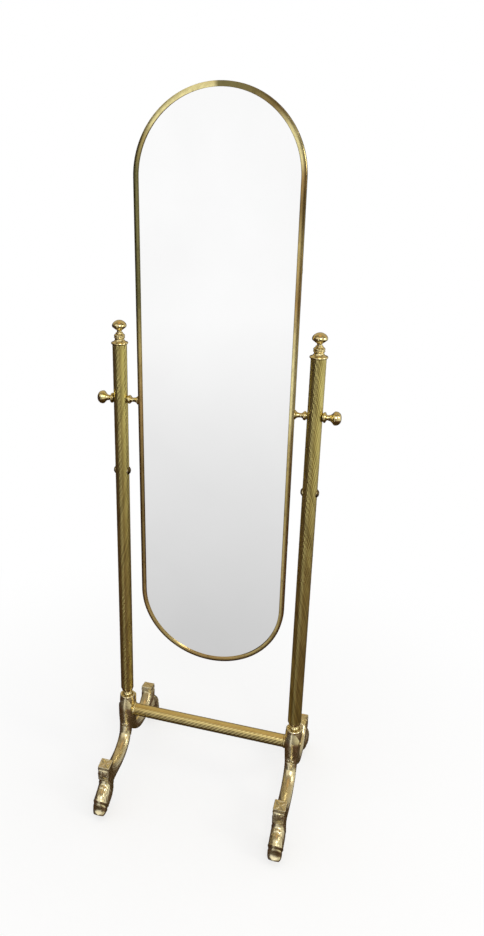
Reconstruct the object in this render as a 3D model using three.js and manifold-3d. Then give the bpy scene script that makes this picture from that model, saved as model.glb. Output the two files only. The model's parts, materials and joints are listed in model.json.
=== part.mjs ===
// Brass cheval floor mirror: a pill-shaped glass in a flat brass band, hung on two studs between
// turned posts that stand on cast feet. Millimetres, +X to the right, +Y to the back, +Z up.
import * as THREE from "three";
import { mergeVertices } from "three/addons/utils/BufferGeometryUtils.js";
import Module from "manifold-3d";

const wasm = await Module();
wasm.setup();

// ---- Driving dimensions ----
const gap = 0.3; // air left between pieces that touch
const boreGap = 0.35; // radial clearance of a shank in its hole

// stand
const postRadius = 15.9;
const postWall = 2;
const postBottom = 234; // height of the tube's lower end
const postLength = 892;
const pivotHeight = 1003;
const plugHeight = 832;
const plugRadius = 9.8;
const plugDome = 5.6; // stands out of the tube
const plugShankRadius = 5.8;
const finialRadius = 15.8;
const finialCollarRadius = 12;
const finialFlangeRadius = 18.6;

// hub and legs
const hubHalfWidth = 16;
const hubHalfDepth = 17;
const hubSole = 98; // height of the hub's lower edge
const hubArch = 20; // rise of the arch under the hub
const hubHollowWidth = 14;
const hubHollowLength = 18; // front to back
const hubHollowTop = 150;
const hubWaistHalfWidth = 14; // the hub and the roots narrow to this below the shoulders
const hubWaistHeight = 118;
const cupRadius = 18.6;
const cupBulge = 1.2;
const cupRim = 213; // height of the cup's rim
const cupFloor = 205; // height of the recess floor
const cupRecessRadius = 14.4;
const shoulderHeight = 188; // the legs' roots reach up to here under the cup's bulge
const frontRidgeHeight = 207; // top of the front leg's root, against the cup
const frontCrestHeight = 187; // its outer edge, where the sloping top turns down
const backRidgeHeight = 211; // top of the back leg's root, close under the cup's rim
const backCrestHeight = 203;
const ridgeHalfWidth = 16.6;
const rootCornerRadius = 8; // the root's outer corners, seen from above
const rootDepth = 26.5; // distance of a root's outer face from the post axis
const legWidth = 27;
const shankTop = 88; // lowest height of the leg's upper edge
const shankBelly = 58; // lowest height of its lower edge
const kneeInner = 147; // distance of the knee block from the post axis
const kneeOuter = 174.5;
const kneeTop = 126;
const kneeWidth = 29;
const ankleHeight = 82;
const instepHeight = 61;
const toeReach = 219;
const footWidth = 31;
const padSeat = 12; // height of the foot's underside
const padRadius = 11.5;
const padInset = 32; // distance of the pad's centre inside the toe's tip
const padStemRadius = 3;
const padStemLength = 16;
const legScrewRadius = 3;
const legScrewGrip = 6; // length in the leg
const legScrewHeight = 125;
const legScrewHeadRadius = 5;
const legScrewHead = 4.5;
const postStudRadius = 4;
const postStudLength = 20;

// stretcher
const stretcherHeight = 169.4;
const stretcherRadius = 15.4;
const stretcherWall = 1.8;
const collarRadius = 17;
const collarWidth = 6.5;
const collarSpigot = 18;
const stretcherBoltRadius = 3;
const stretcherBoltLength = 50;
const stretcherBoltHeadRadius = 5.4;
const stretcherBoltHead = 3.6;

// mirror
const mirrorTilt = 1.2; // degrees, top towards the front
const mirrorWidth = 343;
const mirrorHeight = 1285;
const mirrorDrop = 5; // the mirror's middle hangs this far below the pivot
const bandLip = 10.5; // face width of the band
const lipThickness = 2.2;
const bandWall = 5;
const bandDepth = 11;
const bandEdgeRound = 1;
const glassThickness = 4;
const glassArris = 0.5; // ground edge of the glass
const clipWidth = 14;
const clipReach = 20;
const clipThickness = 1.4;
const clipScrewRadius = 1.3;
const clipScrewLength = 8;
const clipSpread = 300; // height of the side clips above and below the mirror's middle
const clipScrewHeadRadius = 2.6;
const clipScrewHead = 1.6;

// pivot hardware
const studRadius = 3;
const spacerLength = 25.5;
const spacerRingRadius = 9.6;
const spacerNeckRadius = 4.7;
const spacerFlareRadius = 10;
const knobLength = 36;
const knobRimRadius = 15;
const knobRingRadius = 11.3;
const knobNeckRadius = 5.2;
const studInKnob = 20;
const washerRadius = 9.5;
const washerThickness = 1.4;

// sizes that follow
const postSpacing = mirrorWidth + 2 * (spacerLength + postRadius + 2 * gap); // between the post axes
const padReach = toeReach - padInset; // distance of the pad's centre from the post axis

const roundSegments = 20;
const smallSegments = 12;

// ---- Materials ----
function finish(color, roughness, metalness) {
  return new THREE.MeshStandardMaterial({ color, roughness, metalness });
}

const postBrass = () => finish(0x8a7a45, 0.3, 1);
const castBrass = () => finish(0x7a6838, 0.38, 1);
const turnedBrass = () => finish(0xb09850, 0.24, 1);
const bandBrass = () => finish(0x7d6c40, 0.3, 1);
const ropeBrass = () => finish(0xb08f48, 0.28, 1);
const darkPlug = () => finish(0x1c1a17, 0.25, 0);
const silvered = () => finish(0xe8eaea, 0.03, 1);
const hardboard = () => finish(0x5a4230, 0.85, 0);
const steel = () => finish(0x9a9a96, 0.35, 1);

// ---- Shape helpers ----
const pivotBore = studRadius + boreGap;
const sides = [
  { name: "left", sign: -1, turn: Math.PI },
  { name: "right", sign: 1, turn: 0 },
];
const stand = new THREE.Group();
const mirror = new THREE.Group();

function toSolid(geometry) {
  const bare = geometry.index ? geometry.toNonIndexed() : geometry.clone();
  bare.deleteAttribute("normal");
  bare.deleteAttribute("uv");
  const merged = mergeVertices(bare, 1e-4);
  return new wasm.Manifold(new wasm.Mesh({
    numProp: 3,
    vertProperties: new Float32Array(merged.attributes.position.array),
    triVerts: new Uint32Array(merged.index.array),
  }));
}

function toGeometry(solid) {
  const mesh = solid.getMesh();
  const geometry = new THREE.BufferGeometry();
  geometry.setAttribute("position", new THREE.BufferAttribute(mesh.vertProperties, 3));
  geometry.setIndex(new THREE.BufferAttribute(mesh.triVerts, 1));
  geometry.computeVertexNormals();
  return geometry;
}

function join(...geometries) {
  return toGeometry(geometries.map(toSolid).reduce((whole, piece) => whole.add(piece)));
}

function cut(geometry, ...tools) {
  return toGeometry(tools.map(toSolid).reduce((whole, tool) => whole.subtract(tool), toSolid(geometry)));
}

function add(group, name, geometry, material) {
  const mesh = new THREE.Mesh(geometry, material);
  mesh.name = name;
  group.add(mesh);
  return mesh;
}

// A path from lists of [radius, height]; an entry with four numbers is a curve through a control point.
function outline(points) {
  const path = new THREE.Path();
  path.moveTo(points[0][0], points[0][1]);
  for (const point of points.slice(1)) {
    if (point.length === 2) path.lineTo(point[0], point[1]);
    else path.quadraticCurveTo(...point);
  }
  return path;
}

// A turned piece about +Z.
function turned(points, segments = roundSegments, curveSteps = 3) {
  return new THREE.LatheGeometry(outline(points).getPoints(curveSteps), segments).rotateX(Math.PI / 2);
}

function rodZ(radius, low, high, segments = smallSegments) {
  const rod = new THREE.CylinderGeometry(radius, radius, high - low, segments);
  return rod.rotateX(Math.PI / 2).translate(0, 0, (low + high) / 2);
}

const rodX = (radius, low, high, segments) => rodZ(radius, low, high, segments).rotateY(Math.PI / 2);
const rodY = (radius, low, high, segments) => rodZ(radius, low, high, segments).rotateX(-Math.PI / 2);

// An outline in (distance from the post axis, height), given its width across X.
function legSlab(points, width, edge) {
  const shape = new THREE.Shape(outline(points).getPoints(4));
  const slab = new THREE.ExtrudeGeometry(shape, {
    depth: width - 2 * edge,
    bevelEnabled: edge > 0,
    bevelSize: edge,
    bevelOffset: -edge,
    bevelThickness: edge,
    bevelSegments: 2,
  });
  return slab.translate(0, 0, edge - width / 2).rotateX(Math.PI / 2).rotateZ(Math.PI / 2);
}

// A block from `front` to `back` along Y that trims a casting to its shoulders and waist.
function tapered(shoulderHalf, front, back) {
  const half = [
    [shoulderHalf, postBottom],
    [shoulderHalf, waistStart],
    [hubWaistHalfWidth, hubWaistHeight],
    [hubWaistHalfWidth, 0],
  ];
  const mirrored = half.map(([x, z]) => [-x, z]).reverse();
  const shape = new THREE.Shape([...half, ...mirrored].map(([x, z]) => new THREE.Vector2(x, z)));
  const block = new THREE.ExtrudeGeometry(shape, { depth: back - front, bevelEnabled: false });
  return block.rotateX(Math.PI / 2).translate(0, back, 0);
}

// ---- Posts ----
const postTop = postBottom + postLength;

function postTube() {
  const bore = rodZ(postRadius - postWall, postBottom - 1, postTop + 1, roundSegments);
  const pivotHole = rodX(pivotBore, -2 * postRadius, 2 * postRadius).translate(0, 0, pivotHeight);
  const plugBore = plugShankRadius + boreGap;
  const plugHole = rodX(plugBore, -2 * postRadius, 2 * postRadius).translate(0, 0, plugHeight);
  return cut(rodZ(postRadius, postBottom, postTop, roundSegments), bore, pivotHole, plugHole);
}

// Domed plug along +X, its skirt saddled on the tube and its shank through the tube's wall.
function postPlug() {
  const dome = turned([
    [0, postRadius - plugRadius],
    [plugRadius, postRadius - plugRadius],
    [plugRadius, postRadius],
    [plugRadius, postRadius + plugDome, 0, postRadius + plugDome],
  ]).rotateY(Math.PI / 2);
  const tube = rodZ(postRadius + gap, -2 * plugRadius, 2 * plugRadius, roundSegments);
  const shank = rodX(plugShankRadius, postRadius - postWall - 3, postRadius + 1);
  return join(cut(dome, tube), shank);
}

function finial() {
  const seat = postTop + gap;
  const spigot = postRadius - postWall - gap;
  return turned([
    [0, seat - 26],
    [spigot, seat - 26],
    [spigot, seat],
    [finialFlangeRadius - 1.6, seat],
    [finialFlangeRadius, seat + 2.4],
    [finialFlangeRadius - 0.4, seat + 4],
    [finialCollarRadius, seat + 5.5, finialCollarRadius - 1.9, seat + 10.5],
    [finialCollarRadius - 1.9, seat + 13],
    [finialCollarRadius, seat + 14.5],
    [finialCollarRadius, seat + 19.5],
    [finialCollarRadius - 1.6, seat + 21.8],
    [7.6, seat + 22.6],
    [7.9, seat + 25.4],
    [5.4, seat + 27.6],
    [5.6, seat + 30.5],
    [8.5, seat + 33.5, finialRadius, seat + 40.6],
    [finialRadius, seat + 42],
    [finialRadius - 4.2, seat + 48],
    [finialRadius - 7, seat + 52, 0, seat + 52.4],
  ]);
}

// Turned foot of the post: a ring under the tube, a bead, a flange in the cup and a threaded stud.
function postFerrule() {
  const seat = postBottom - gap;
  const spigot = postRadius - postWall - gap;
  const flange = spigot + 0.2;
  const rest = cupFloor + gap;
  return turned([
    [0, rest - postStudLength],
    [postStudRadius, rest - postStudLength],
    [postStudRadius, rest],
    [12.4, rest],
    [12.6, rest + 1.6],
    [8, rest + 3.6],
    [12.6, rest + 9.6, 7.8, rest + 14.4],
    [7.6, seat - 7.2],
    [flange - 0.5, seat - 6.4],
    [flange, seat - 5.6],
    [flange, seat - 1.4],
    [postRadius - 0.4, seat],
    [spigot, seat],
    [spigot, seat + 24],
    [0, seat + 24],
  ]);
}

// ---- Feet, each about its own post axis ----
const rootFace = hubHalfDepth + gap;
const waistStart = stretcherHeight - collarRadius;
const collarSeat = postSpacing / 2 - hubHalfWidth - gap;

function hub() {
  const side = [
    [-hubHalfDepth, hubSole],
    [0, hubSole + 2 * hubArch, hubHalfDepth, hubSole],
    [hubHalfDepth, shoulderHeight],
    [-hubHalfDepth, shoulderHeight],
    [-hubHalfDepth, hubSole],
  ];
  const cup = turned([
    [0, shoulderHeight - 4],
    [hubHalfDepth - 1, shoulderHeight - 4],
    [hubHalfDepth - 1, shoulderHeight],
    [cupRadius + cupBulge, shoulderHeight + gap],
    [cupRadius + cupBulge, cupRim - 10, cupRadius, cupRim - 5],
    [cupRadius, cupRim - 1.2],
    [cupRadius - 1.2, cupRim],
    [cupRecessRadius + 1, cupRim],
    [cupRecessRadius, cupRim - 1.4],
    [cupRecessRadius, cupFloor],
    [0, cupFloor],
  ]);
  const hollowDepth = hubHollowTop - hubSole + 5;
  const hollow = new THREE.BoxGeometry(hubHollowWidth, hubHollowLength, hollowDepth);
  hollow.translate(0, 0, hubHollowTop - hollowDepth / 2);
  const reach = 2 * hubHalfDepth;
  const front = tapered(hubHalfWidth, -hubHalfDepth, hubHalfDepth);
  const body = toSolid(legSlab(side, 2 * hubHalfWidth, 1)).intersect(toSolid(front));
  return cut(
    toGeometry(body.add(toSolid(cup))),
    hollow,
    rodZ(postStudRadius + boreGap, cupFloor - postStudLength - 1, cupFloor + 1),
    rodY(legScrewRadius + boreGap, -reach, reach).translate(0, 0, legScrewHeight),
    rodX(stretcherBoltRadius + boreGap, -reach, reach).translate(0, 0, stretcherHeight),
  );
}

// An upright block under the rim's height that trims a casting to its outline seen from above.
function planBlock(shape) {
  return toSolid(new THREE.ExtrudeGeometry(shape, { depth: cupRim, bevelEnabled: false, curveSegments: 6 }));
}

function rootPlan() {
  const half = ridgeHalfWidth + 1;
  const front = rootDepth + 0.9;
  const shape = new THREE.Shape();
  shape.moveTo(-half, 0);
  shape.lineTo(half, 0);
  shape.lineTo(half, front - rootCornerRadius);
  shape.quadraticCurveTo(half, front, half - rootCornerRadius, front);
  shape.lineTo(rootCornerRadius - half, front);
  shape.quadraticCurveTo(-half, front, -half, front - rootCornerRadius);
  return shape;
}

// Straight sides and a half-round toe.
function footPlan() {
  const half = footWidth / 2;
  const shape = new THREE.Shape();
  shape.moveTo(-half, 0);
  shape.lineTo(half, 0);
  shape.absarc(0, toeReach - half, half, 0, Math.PI, false);
  return shape;
}

// One leg, standing out along +Y from the hub's flat side. The top of its root slopes from the
// ridge by the cup down to the crest.
function leg(ridge, crest) {
  const shank = [
    [rootFace, hubSole],
    [rootFace, shoulderHeight - 4],
    [rootDepth, shoulderHeight - 4],
    [rootDepth, hubWaistHeight + 50],
    [rootDepth - 2.5, hubWaistHeight, rootDepth + 15.5, shankTop + 14],
    [rootDepth + 39.5, shankTop - 3, rootDepth + 73.5, shankTop],
    [kneeInner - 19, shankTop + 3, kneeInner + 4, shankTop + 28],
    [kneeOuter - 2, shankTop + 28],
    [kneeOuter + 2, ankleHeight - 10],
    [kneeInner + 3, ankleHeight - 42],
    [kneeInner - 7, shankBelly - 5, kneeInner - 39, shankBelly],
    [rootDepth + 37.5, shankBelly, rootDepth + 13.5, shankBelly + 17],
    [rootDepth + 1.5, shankBelly + 25, rootFace, hubSole],
  ];
  const root = [
    [rootFace, hubWaistHeight - 10],
    [rootFace, shoulderHeight - gap],
    [cupRadius - 1, shoulderHeight - gap],
    [cupRadius - 1, ridge - 1],
    [rootDepth - 4, ridge + 1, rootDepth - 0.9, crest + 5],
    [rootDepth + 0.9, crest],
    [rootDepth - 0.5, hubWaistHeight - 10],
    [rootFace, hubWaistHeight - 10],
  ];
  const knee = [
    [kneeInner, ankleHeight + 2],
    [kneeOuter + 1.5, ankleHeight + 2],
    [kneeOuter, kneeTop - 4],
    [kneeInner, kneeTop],
    [kneeInner, ankleHeight + 2],
  ];
  const foot = [
    [kneeInner - 9, ankleHeight - 30],
    [kneeInner - 7, padSeat + 12, padReach - 21, padSeat + 6],
    [padReach - padRadius, padSeat],
    [toeReach - 12, padSeat],
    [toeReach, padSeat + 2, toeReach, padSeat + 14],
    [toeReach, instepHeight - 9, toeReach - 21, instepHeight],
    [toeReach - 35, instepHeight + 5, kneeOuter + 3, ankleHeight],
    [kneeOuter - 4, ankleHeight + 8],
    [kneeInner + 3, ankleHeight + 6],
    [kneeInner - 9, ankleHeight - 30],
  ];
  const taper = tapered(ridgeHalfWidth, hubHalfDepth, 3 * hubHalfDepth);
  const rootSolid = toSolid(legSlab(root, 2 * ridgeHalfWidth, 1.5));
  const footSolid = toSolid(legSlab(foot, footWidth, 4));
  const whole = toSolid(legSlab(shank, legWidth, 3))
    .add(rootSolid.intersect(toSolid(taper)).intersect(planBlock(rootPlan())))
    .add(toSolid(legSlab(knee, kneeWidth, 1)))
    .add(footSolid.intersect(planBlock(footPlan())));
  const screwHole = rodY(legScrewRadius + boreGap, 0, rootFace + legScrewGrip + 1);
  return cut(
    toGeometry(whole),
    rodZ(cupRadius + cupBulge + gap, shoulderHeight - gap, cupRim, roundSegments),
    screwHole.translate(0, 0, legScrewHeight),
    rodZ(padStemRadius + boreGap, 0, padStemLength + padSeat).translate(0, padReach, 0),
  );
}

function pad() {
  return turned([
    [0, 0],
    [padRadius - 3.8, 0],
    [padRadius, 1, padRadius, 5],
    [padRadius, padSeat - 3],
    [padRadius - 1.6, padSeat - gap],
    [padStemRadius, padSeat - gap],
    [padStemRadius, padSeat + padStemLength - 2],
    [0, padSeat + padStemLength - 2],
  ]).translate(0, padReach, 0);
}

// Socket screw along +Y with its head in the hub's hollow.
function legScrew() {
  const underHead = hubHollowLength / 2 - gap;
  const head = rodY(legScrewHeadRadius, underHead - legScrewHead, underHead);
  const shank = rodY(legScrewRadius, underHead - 1, rootFace + legScrewGrip);
  return join(head, shank).translate(0, 0, legScrewHeight);
}

const footEnds = [
  { name: "front", turn: Math.PI, ridge: frontRidgeHeight, crest: frontCrestHeight },
  { name: "back", turn: 0, ridge: backRidgeHeight, crest: backCrestHeight },
];

function buildFoot(side) {
  const foot = new THREE.Group();
  foot.position.x = side.sign * postSpacing / 2;
  add(foot, `${side.name}_post`, postTube(), postBrass());
  add(foot, `${side.name}_finial`, finial(), turnedBrass());
  add(foot, `${side.name}_post_ferrule`, postFerrule(), turnedBrass());
  add(foot, `${side.name}_foot_hub`, hub(), castBrass());
  for (const plugSide of sides) {
    const plug = add(foot, `${side.name}_post_${plugSide.name}_plug`, postPlug(), darkPlug());
    plug.position.z = plugHeight;
    plug.rotation.z = plugSide.turn;
  }
  for (const end of footEnds) {
    const pieces = [
      add(foot, `${side.name}_${end.name}_leg`, leg(end.ridge, end.crest), castBrass()),
      add(foot, `${side.name}_${end.name}_leg_screw`, legScrew(), steel()),
      add(foot, `${side.name}_${end.name}_pad`, pad(), turnedBrass()),
    ];
    for (const piece of pieces) piece.rotation.z = end.turn;
  }
  stand.add(foot);
}

// ---- Stretcher ----
const tubeEnd = collarSeat - collarWidth - gap;

function stretcherTube() {
  const outer = rodX(stretcherRadius, -tubeEnd, tubeEnd, roundSegments);
  return cut(outer, rodX(stretcherRadius - stretcherWall, -tubeEnd - 1, tubeEnd + 1, roundSegments));
}

// Collar with a spigot in the tube's right-hand end and its outer face against the hub.
function stretcherCollar() {
  const spigot = stretcherRadius - stretcherWall - gap;
  const inner = tubeEnd + gap;
  const bore = stretcherBoltRadius + boreGap;
  return turned([
    [bore, inner - collarSpigot],
    [spigot, inner - collarSpigot],
    [spigot, inner],
    [stretcherRadius, inner],
    [collarRadius, inner + 1.6],
    [collarRadius, inner + 4.2],
    [stretcherRadius - 0.8, collarSeat],
    [bore, collarSeat],
    [bore, inner - collarSpigot],
  ]).rotateY(Math.PI / 2);
}

// Dome-headed bolt from the hub's outer side into the collar.
function stretcherBolt() {
  const face = postSpacing / 2 + hubHalfWidth + gap;
  return turned([
    [0, face - stretcherBoltLength],
    [stretcherBoltRadius, face - stretcherBoltLength],
    [stretcherBoltRadius, face],
    [stretcherBoltHeadRadius, face],
    [stretcherBoltHeadRadius, face + 1],
    [stretcherBoltHeadRadius - 1, face + stretcherBoltHead, 0, face + stretcherBoltHead],
  ], smallSegments).rotateY(Math.PI / 2);
}

function buildStretcher() {
  const rail = new THREE.Group();
  rail.position.z = stretcherHeight;
  add(rail, "stretcher_tube", stretcherTube(), ropeBrass());
  for (const side of sides) {
    add(rail, `stretcher_${side.name}_collar`, stretcherCollar(), turnedBrass()).rotation.z = side.turn;
    add(rail, `stretcher_${side.name}_bolt`, stretcherBolt(), turnedBrass()).rotation.z = side.turn;
  }
  stand.add(rail);
}

// ---- Mirror, in its own frame: pivot at the origin, glass upright, front towards -Y ----
const bandFront = -bandDepth / 2;
const paneWidth = mirrorWidth - 2 * (bandWall + gap);
const paneHeight = mirrorHeight - 2 * (bandWall + gap);
const glassFront = bandFront + lipThickness + gap;
const backingFront = glassFront + glassThickness + gap;
const backingThickness = bandDepth / 2 - backingFront;
const clipFront = bandDepth / 2 + gap;

// A pill-shaped plate; `edge` bevels both of its rims.
function pillPlate(width, height, front, thickness, edge = 0) {
  const radius = width / 2;
  const straight = height / 2 - radius;
  const shape = new THREE.Shape();
  shape.absarc(0, straight, radius, 0, Math.PI, false);
  shape.absarc(0, -straight, radius, Math.PI, 2 * Math.PI, false);
  const plate = new THREE.ExtrudeGeometry(shape, {
    depth: thickness - 2 * edge,
    curveSegments: 14,
    bevelEnabled: edge > 0,
    bevelSize: edge,
    bevelOffset: -edge,
    bevelThickness: edge,
    bevelSegments: 1,
  });
  return plate.rotateX(Math.PI / 2).translate(0, front + thickness - edge, -mirrorDrop);
}

function band() {
  const outer = pillPlate(mirrorWidth, mirrorHeight, bandFront, bandDepth, bandEdgeRound);
  const windowWidth = mirrorWidth - 2 * bandLip;
  const windowHeight = mirrorHeight - 2 * bandLip;
  const window = pillPlate(windowWidth, windowHeight, bandFront - 1, bandDepth + 2);
  const pocketWidth = mirrorWidth - 2 * bandWall;
  const pocketHeight = mirrorHeight - 2 * bandWall;
  const pocket = pillPlate(pocketWidth, pocketHeight, bandFront + lipThickness, bandDepth);
  const studHole = rodX(pivotBore, -mirrorWidth, mirrorWidth);
  const screwHoles = clips.map((clip) => {
    const hole = rodY(clipScrewRadius + boreGap, bandDepth / 2 - clipScrewLength, bandDepth);
    return hole.translate(clip.x, 0, clip.z);
  });
  return cut(outer, window, pocket, studHole, ...screwHoles);
}

const glass = () => pillPlate(paneWidth, paneHeight, glassFront, glassThickness, glassArris);
const backing = () => pillPlate(paneWidth, paneHeight, backingFront, backingThickness);

// Where the clips are screwed to the band's back edge, and the turn that points each one inwards.
const clips = [
  { name: "top", x: 0, z: mirrorHeight / 2 - bandWall / 2 - mirrorDrop, turn: 0 },
  { name: "bottom", x: 0, z: -mirrorHeight / 2 + bandWall / 2 - mirrorDrop, turn: Math.PI },
];
for (const [name, sign] of [["left", -1], ["right", 1]]) {
  const x = sign * (mirrorWidth - bandWall) / 2;
  clips.push({ name: `${name}_upper`, x, z: clipSpread - mirrorDrop, turn: sign * Math.PI / 2 });
  clips.push({ name: `${name}_lower`, x, z: -clipSpread - mirrorDrop, turn: sign * Math.PI / 2 });
}

// Flat tab with its screw at the origin, reaching inwards along -Z.
function clip() {
  const tab = new THREE.BoxGeometry(clipWidth, clipThickness, clipReach);
  tab.translate(0, clipFront + clipThickness / 2, bandWall / 2 - clipReach / 2);
  return cut(tab, rodY(clipScrewRadius + boreGap, 0, 2 * bandDepth));
}

function clipScrew() {
  const underHead = clipFront + clipThickness + gap;
  const shank = rodY(clipScrewRadius, bandDepth / 2 - clipScrewLength + 1, underHead + 1, 12);
  return join(shank, rodY(clipScrewHeadRadius, underHead, underHead + clipScrewHead, 12));
}

// ---- Pivot hardware, for the right-hand side ----
const spacerStart = mirrorWidth / 2 + gap;
const spacerEnd = spacerStart + spacerLength;
const washerStart = postSpacing / 2 + postRadius + gap;
const knobStart = washerStart + washerThickness + gap;

const stud = () => rodX(studRadius, mirrorWidth / 2 - bandWall + gap, knobStart + studInKnob);

// Turned spacer between the band and the post: flare, waist and ring.
function spacer() {
  return turned([
    [pivotBore, spacerStart],
    [spacerFlareRadius, spacerStart],
    [spacerFlareRadius, spacerStart + 1.5],
    [spacerNeckRadius + 1, spacerStart + 4, spacerNeckRadius, spacerStart + 12.5],
    [spacerNeckRadius + 0.6, spacerEnd - 9.5],
    [spacerRingRadius - 1.2, spacerEnd - 7.5],
    [spacerRingRadius, spacerEnd - 5.6],
    [spacerRingRadius, spacerEnd - 3],
    [spacerRingRadius - 2, spacerEnd - 1.6],
    [spacerRingRadius - 2, spacerEnd],
    [pivotBore, spacerEnd],
    [pivotBore, spacerStart],
  ]).rotateY(Math.PI / 2);
}

function washer() {
  const disc = rodX(washerRadius, washerStart, washerStart + washerThickness);
  return cut(disc, rodX(pivotBore, washerStart - 1, washerStart + washerThickness + 1));
}

// Clamp knob: ring, waist, sharp-rimmed head with a low dome.
function knob() {
  const tip = knobStart + knobLength;
  return turned([
    [0, knobStart + studInKnob + 1],
    [pivotBore, knobStart + studInKnob + 1],
    [pivotBore, knobStart],
    [knobRingRadius - 1.2, knobStart],
    [knobRingRadius, knobStart + 1.2],
    [knobRingRadius, knobStart + 3.2],
    [knobRingRadius - 2, knobStart + 4.8],
    [knobNeckRadius, knobStart + 5.5, knobNeckRadius, knobStart + 9.5],
    [knobNeckRadius + 1.6, knobStart + 16, knobRimRadius - 0.3, tip - 13.2],
    [knobRimRadius, tip - 12],
    [knobRimRadius - 2.6, tip - 5.4],
    [knobRimRadius - 5, tip - 0.2, 0, tip],
  ]).rotateY(Math.PI / 2);
}

function buildMirror() {
  add(mirror, "mirror_band", band(), bandBrass());
  add(mirror, "mirror_glass", glass(), silvered());
  add(mirror, "mirror_backing", backing(), hardboard());
  for (const { name, x, z, turn } of clips) {
    const tab = add(mirror, `${name}_clip`, clip(), bandBrass());
    const screw = add(mirror, `${name}_clip_screw`, clipScrew(), steel());
    for (const piece of [tab, screw]) {
      piece.position.set(x, 0, z);
      piece.rotation.y = turn;
    }
  }
  for (const side of sides) {
    const pieces = [
      add(mirror, `${side.name}_pivot_stud`, stud(), steel()),
      add(mirror, `${side.name}_pivot_spacer`, spacer(), turnedBrass()),
      add(mirror, `${side.name}_knob_washer`, washer(), turnedBrass()),
      add(mirror, `${side.name}_clamp_knob`, knob(), turnedBrass()),
    ];
    for (const piece of pieces) piece.rotation.z = side.turn;
  }
  mirror.position.z = pivotHeight;
  mirror.rotation.x = mirrorTilt * Math.PI / 180;
}

// ---- Assembly ----
for (const side of sides) buildFoot(side);
buildStretcher();
buildMirror();
const chevalMirror = new THREE.Group();
chevalMirror.add(stand, mirror);

export default chevalMirror;
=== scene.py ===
import json
import math

import bmesh
import bpy
import numpy as np
from mathutils import Matrix, Vector, noise


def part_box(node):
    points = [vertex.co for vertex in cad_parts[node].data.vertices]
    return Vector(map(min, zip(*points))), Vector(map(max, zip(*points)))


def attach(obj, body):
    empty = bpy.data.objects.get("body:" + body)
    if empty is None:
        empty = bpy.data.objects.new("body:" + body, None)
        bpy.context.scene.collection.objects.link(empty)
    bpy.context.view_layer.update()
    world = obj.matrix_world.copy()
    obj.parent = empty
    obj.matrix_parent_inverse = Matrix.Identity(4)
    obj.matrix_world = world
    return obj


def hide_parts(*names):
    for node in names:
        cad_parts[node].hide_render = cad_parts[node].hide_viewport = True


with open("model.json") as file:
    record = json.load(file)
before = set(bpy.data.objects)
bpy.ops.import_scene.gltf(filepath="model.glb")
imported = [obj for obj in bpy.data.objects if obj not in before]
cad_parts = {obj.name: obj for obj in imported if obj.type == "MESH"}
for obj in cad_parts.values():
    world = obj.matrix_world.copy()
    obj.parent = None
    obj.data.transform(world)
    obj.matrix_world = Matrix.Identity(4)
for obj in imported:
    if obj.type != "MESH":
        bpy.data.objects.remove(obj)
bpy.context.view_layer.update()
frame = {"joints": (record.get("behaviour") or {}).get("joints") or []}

mm = 0.001
hands = {"left": -1, "right": 1}
studHole = 3.35  # radius of a bore that a 6 mm stud or bolt passes
clearance = 0.3  # left between pieces that only lie together

# the pivot that the mirror swings on, and the lean it stands at
pivot = Vector(next(j["pos_m"] for j in frame["joints"] if j["name"] == "mirror_tilt")) / mm
mirrorLean = math.radians(1.2)


def feed(tree, socket, value):
    # a socket is linked in, anything else becomes the set value
    if isinstance(value, bpy.types.NodeSocket):
        tree.links.new(value, socket)
    else:
        socket.default_value = value


def addNode(tree, kind, inputs=(), **settings):
    made = tree.nodes.new(kind)
    for key, value in settings.items():
        setattr(made, key, value)
    for key, value in dict(inputs).items():
        feed(tree, made.inputs[key], value)
    return made


def mathNode(tree, operation, *values, clamp=False):
    return addNode(tree, "ShaderNodeMath", enumerate(values), operation=operation,
                   use_clamp=clamp).outputs[0]


def mixColours(tree, factor, first, second):
    return addNode(tree, "ShaderNodeMix", {0: factor, 6: first, 7: second},
                   data_type="RGBA").outputs[2]


def rangeNode(tree, value, start, end, low=0.0, high=1.0, smooth=True):
    return addNode(tree, "ShaderNodeMapRange", {
        "Value": value, "From Min": start, "From Max": end, "To Min": low, "To Max": high},
        interpolation_type="SMOOTHSTEP" if smooth else "LINEAR").outputs[0]


def noiseNode(tree, place, scale, detail, roughness=0.5, distortion=0.0):
    return addNode(tree, "ShaderNodeTexNoise", {
        "Vector": place, "Scale": scale, "Detail": detail, "Roughness": roughness,
        "Distortion": distortion}).outputs[0]


def objectPlace(tree):
    return addNode(tree, "ShaderNodeTexCoord").outputs["Object"]


def stretched(tree, place, factors):
    return addNode(tree, "ShaderNodeVectorMath", {0: place, 1: factors},
                   operation="MULTIPLY").outputs[0]


def hexColour(text):
    parts = [int(text[i:i + 2], 16) / 255 for i in (0, 2, 4)]
    linear = [p / 12.92 if p <= 0.04045 else ((p + 0.055) / 1.055) ** 2.4 for p in parts]
    return (*linear, 1)


def rampNode(tree, factor, stops):
    # stops are (position, colour), the colour a hex text or a grey level
    made = addNode(tree, "ShaderNodeValToRGB", {0: factor})
    elements = made.color_ramp.elements
    while len(elements) < len(stops):
        elements.new(0.5)
    for element, (position, colour) in zip(elements, stops):
        element.position = position
        element.color = hexColour(colour) if isinstance(colour, str) else (*[colour] * 3, 1)
    return made.outputs[0]


def newGroup(name, inputs, outputs):
    group = bpy.data.node_groups.new(name, "ShaderNodeTree")
    for label, kind, value in inputs:
        socket = group.interface.new_socket(
            name=label, in_out="INPUT", socket_type=f"NodeSocket{kind}")
        socket.default_value = value
    for label, kind in outputs:
        group.interface.new_socket(name=label, in_out="OUTPUT", socket_type=f"NodeSocket{kind}")
    return group, addNode(group, "NodeGroupInput").outputs


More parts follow.
